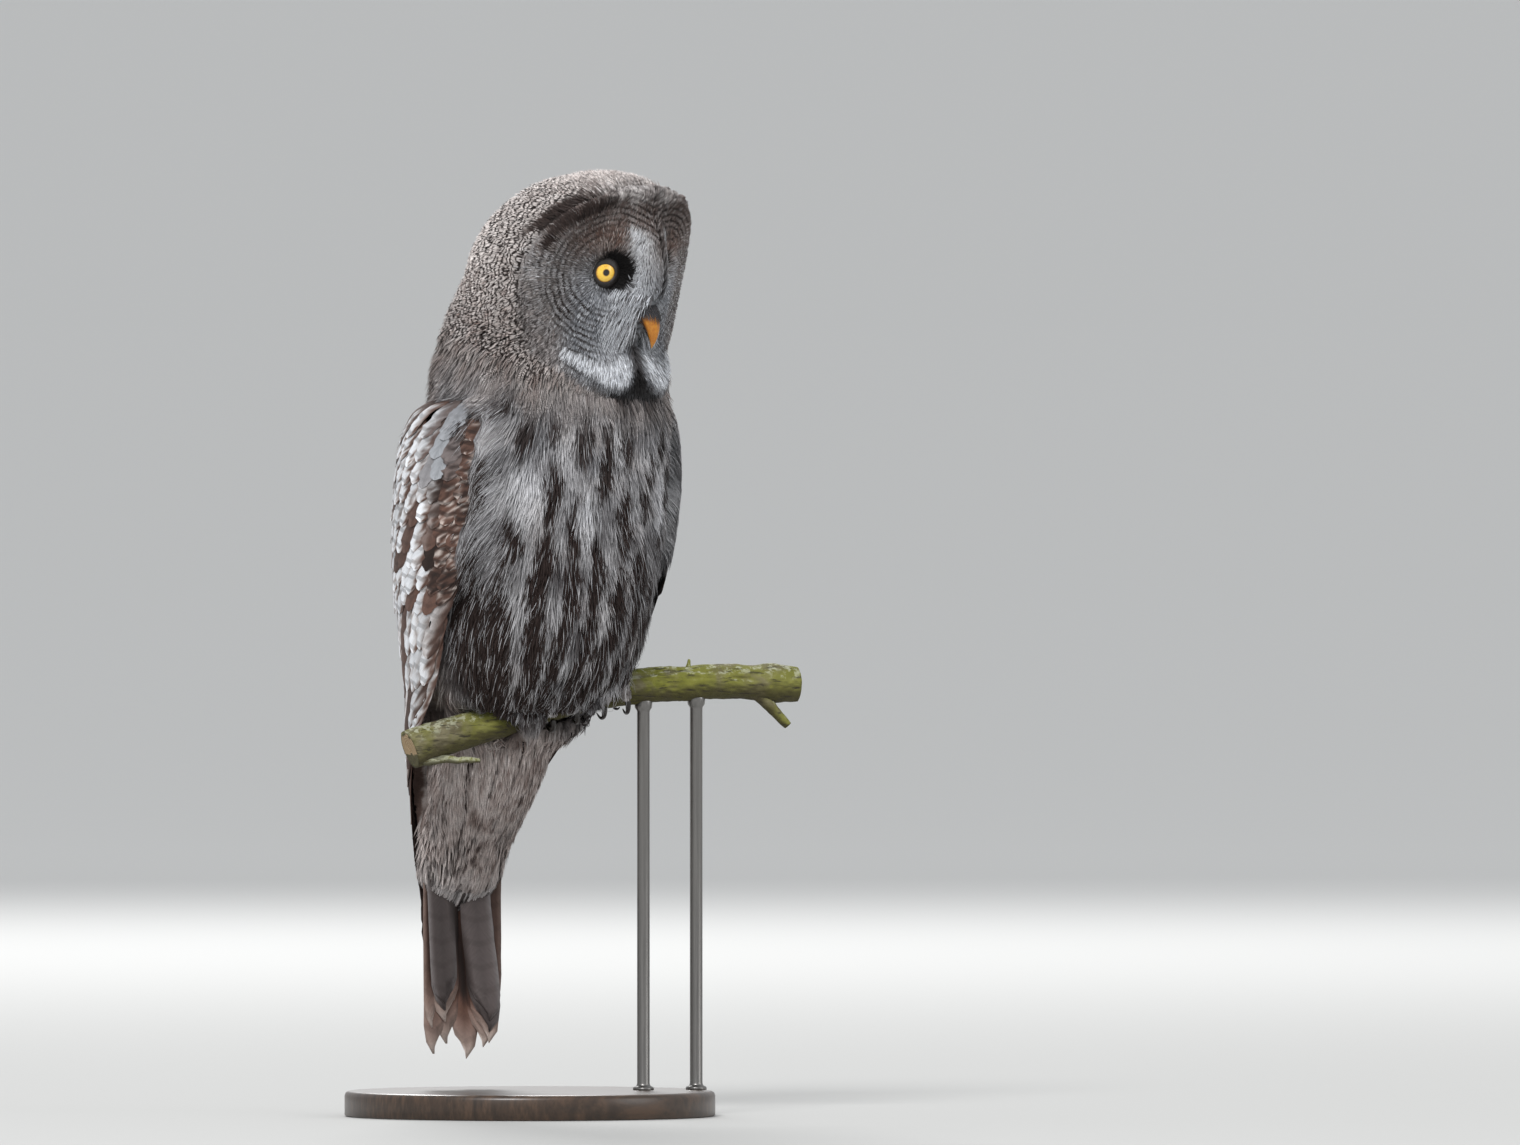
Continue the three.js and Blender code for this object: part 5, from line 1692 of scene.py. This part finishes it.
def growToes():
    rng = np.random.default_rng(320)
    x, y, cells = gridCells(*toeCoat["cells"], 321)
    t, turn = mix(-14.0, 74.0, x), mix(-2.5, 2.7, y)
    outer = roundPerch(t, turn, np.full(len(t), 40.0))
    roots, normals, met = castOn(outer, perchMiddle(t) - outer)
    cells, t, turn = cells[met], t[met], turn[met]
    kept = ownedBy(roots, "leg_left", "leg_right")
    roots, normals, cells, t, turn = roots[kept], normals[kept], cells[kept], t[kept], turn[kept]
    level = np.full(len(t), 20.0)
    ahead = roundPerch(t, turn + np.where(turn > 0, 0.1, -0.1), level) - roundPerch(t, turn, level)
    flow = unit(ahead) + rng.normal(0, 0.2, roots.shape)
    length = rng.uniform(*toeCoat["length"], len(roots))
    paths, ups = growPaths(roots, normals, flow, length, rng.uniform(0.8, 2.4, len(roots)), 3)
    marks, fine = pathMarks(paths, rng)
    mottle = softNoise(roots, 3.5, 330)
    marks[..., 0] = np.clip(0.25 + 0.55 * mottle, 0, 0.8)[:, None]
    marks[..., 1] = np.clip(0.45 - 0.3 * mottle, 0, 1)[:, None]
    marks[..., 2:] = [0.3, 0]
    fine[..., 1], fine[..., 3] = 0, 0
    width = toeCoat["width"] * rng.uniform(0.7, 1.2, len(roots))
    roll = rng.normal(0, 0.35, len(roots))
    growPiece("toe_coat", paths, ups, width, marks, fine, cells, roll, (0.8, 1, 0.8, 0))


growToes()


def makeClaws():
    names = [f"claw_{end}_{row}_{side}" for end in ("front", "back") for row in ("inner", "outer")
             for side in ("left", "right")]
    joined = bmesh.new()
    for name in names:
        joined.from_mesh(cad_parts[name].data)
    bmesh.ops.remove_doubles(joined, verts=joined.verts, dist=0.00005)
    mesh = finished(meshFrom(joined, "claws"), "SUBSURF", levels=2, render_levels=2)
    smoothMesh(mesh)
    material, tree, shader = startMaterial("clawHorn", Roughness=0.36)
    grain = noiseOf(tree, objectPlace(tree), 700, 3)
    coloured(tree, shader, blended(tree, grain, (0.006, 0.005, 0.005), (0.030, 0.024, 0.020)))
    bumped(tree, shader, grain, 0.2, 0.0003)
    addPiece("claws", mesh, material, names)


makeClaws()


# Stand

standShape = {
    "disc": [(0, 0), (130.8, 0), (132, 1.2), (132, 14.6), (131.2, 16.8), (129, 18), (0, 18)],
    "rods": {"near": 78, "far": 118}, "rod": 4.5, "flange": 7.5,
}


def spunMesh(name, profile, middle, steps):
    spun = spunShape([(r * mm, z * mm) for r, z in profile], steps)
    bmesh.ops.remove_doubles(spun, verts=spun.verts, dist=1e-6)
    bmesh.ops.recalc_face_normals(spun, faces=spun.faces)
    bmesh.ops.translate(spun, verts=spun.verts, vec=Vector(middle) * mm)
    return meshFrom(spun, name)


def woodMaterial():
    material, tree, shader = startMaterial("darkWood", Roughness=0.38, Coat_Weight=0.3, Coat_Roughness=0.25)
    place = objectPlace(tree)
    wavy = noiseOf(tree, stretched(tree, place, (5, 30, 5)), 1, 2)
    grain = noiseOf(tree, stretched(tree, place, (16, 380, 90)), 1, 5, 0.65)
    bands = maths(tree, "SINE", times(tree, wavy, 60.0))
    colour = blended(tree, eased(tree, grain, 0.3, 0.7), (0.030, 0.018, 0.011), (0.085, 0.048, 0.028))
    colour = blended(tree, eased(tree, bands, -0.2, 1.0, 0, 0.45), colour, (0.020, 0.012, 0.008))
    coloured(tree, shader, colour)
    bumped(tree, shader, grain, 0.15, 0.0004)
    return material


def metalMaterial():
    material, tree, shader = startMaterial("brushedMetal", Metallic=1.0, Roughness=0.34)
    brushed = noiseOf(tree, stretched(tree, objectPlace(tree), (900, 900, 20)), 1, 4)
    coloured(tree, shader, blended(tree, brushed, (0.17, 0.165, 0.16), (0.27, 0.26, 0.25)))
    tree.links.new(eased(tree, brushed, 0.2, 0.8, 0.28, 0.42), shader.inputs["Roughness"])
    return material


def makeStand():
    mesh = spunMesh("stand_disc", standShape["disc"], (0, 0, 0), 160)
    soft = [abs(face.normal.z) < 0.98 for face in mesh.polygons]
    mesh.polygons.foreach_set("use_smooth", soft)
    addPiece("stand_disc", mesh, woodMaterial(), ["stand_base"])
    metal = metalMaterial()
    for name, t in standShape["rods"].items():
        x, y, height = perchMiddle(float(t))
        top, r, wide = height - 9.5, standShape["rod"], standShape["flange"]
        foot = [(0, 18), (wide, 18), (wide, 19.6), (wide - 0.8, 20.4)]
        foot += [(r + 1.2, 20.8), (r + 0.3, 21.6), (r, 23)]
        cup = [(0, -9), (0.3, -8), (1.6, -6), (1.9, -3), (1.9, 0)]
        profile = foot + [(r + out, top + up) for out, up in cup] + [(0, top)]
        mesh = spunMesh(f"stand_rod_{name}_bar", profile, (x, y, 0), 48)
        smoothMesh(mesh)
        mesh = finished(mesh, "BEVEL", width=0.3 * mm, segments=2, limit_method="ANGLE")
        smoothMesh(mesh)
        addPiece(f"stand_rod_{name}_bar", mesh, metal, [f"stand_rod_{name}"])


makeStand()
print("perch and stand are made")
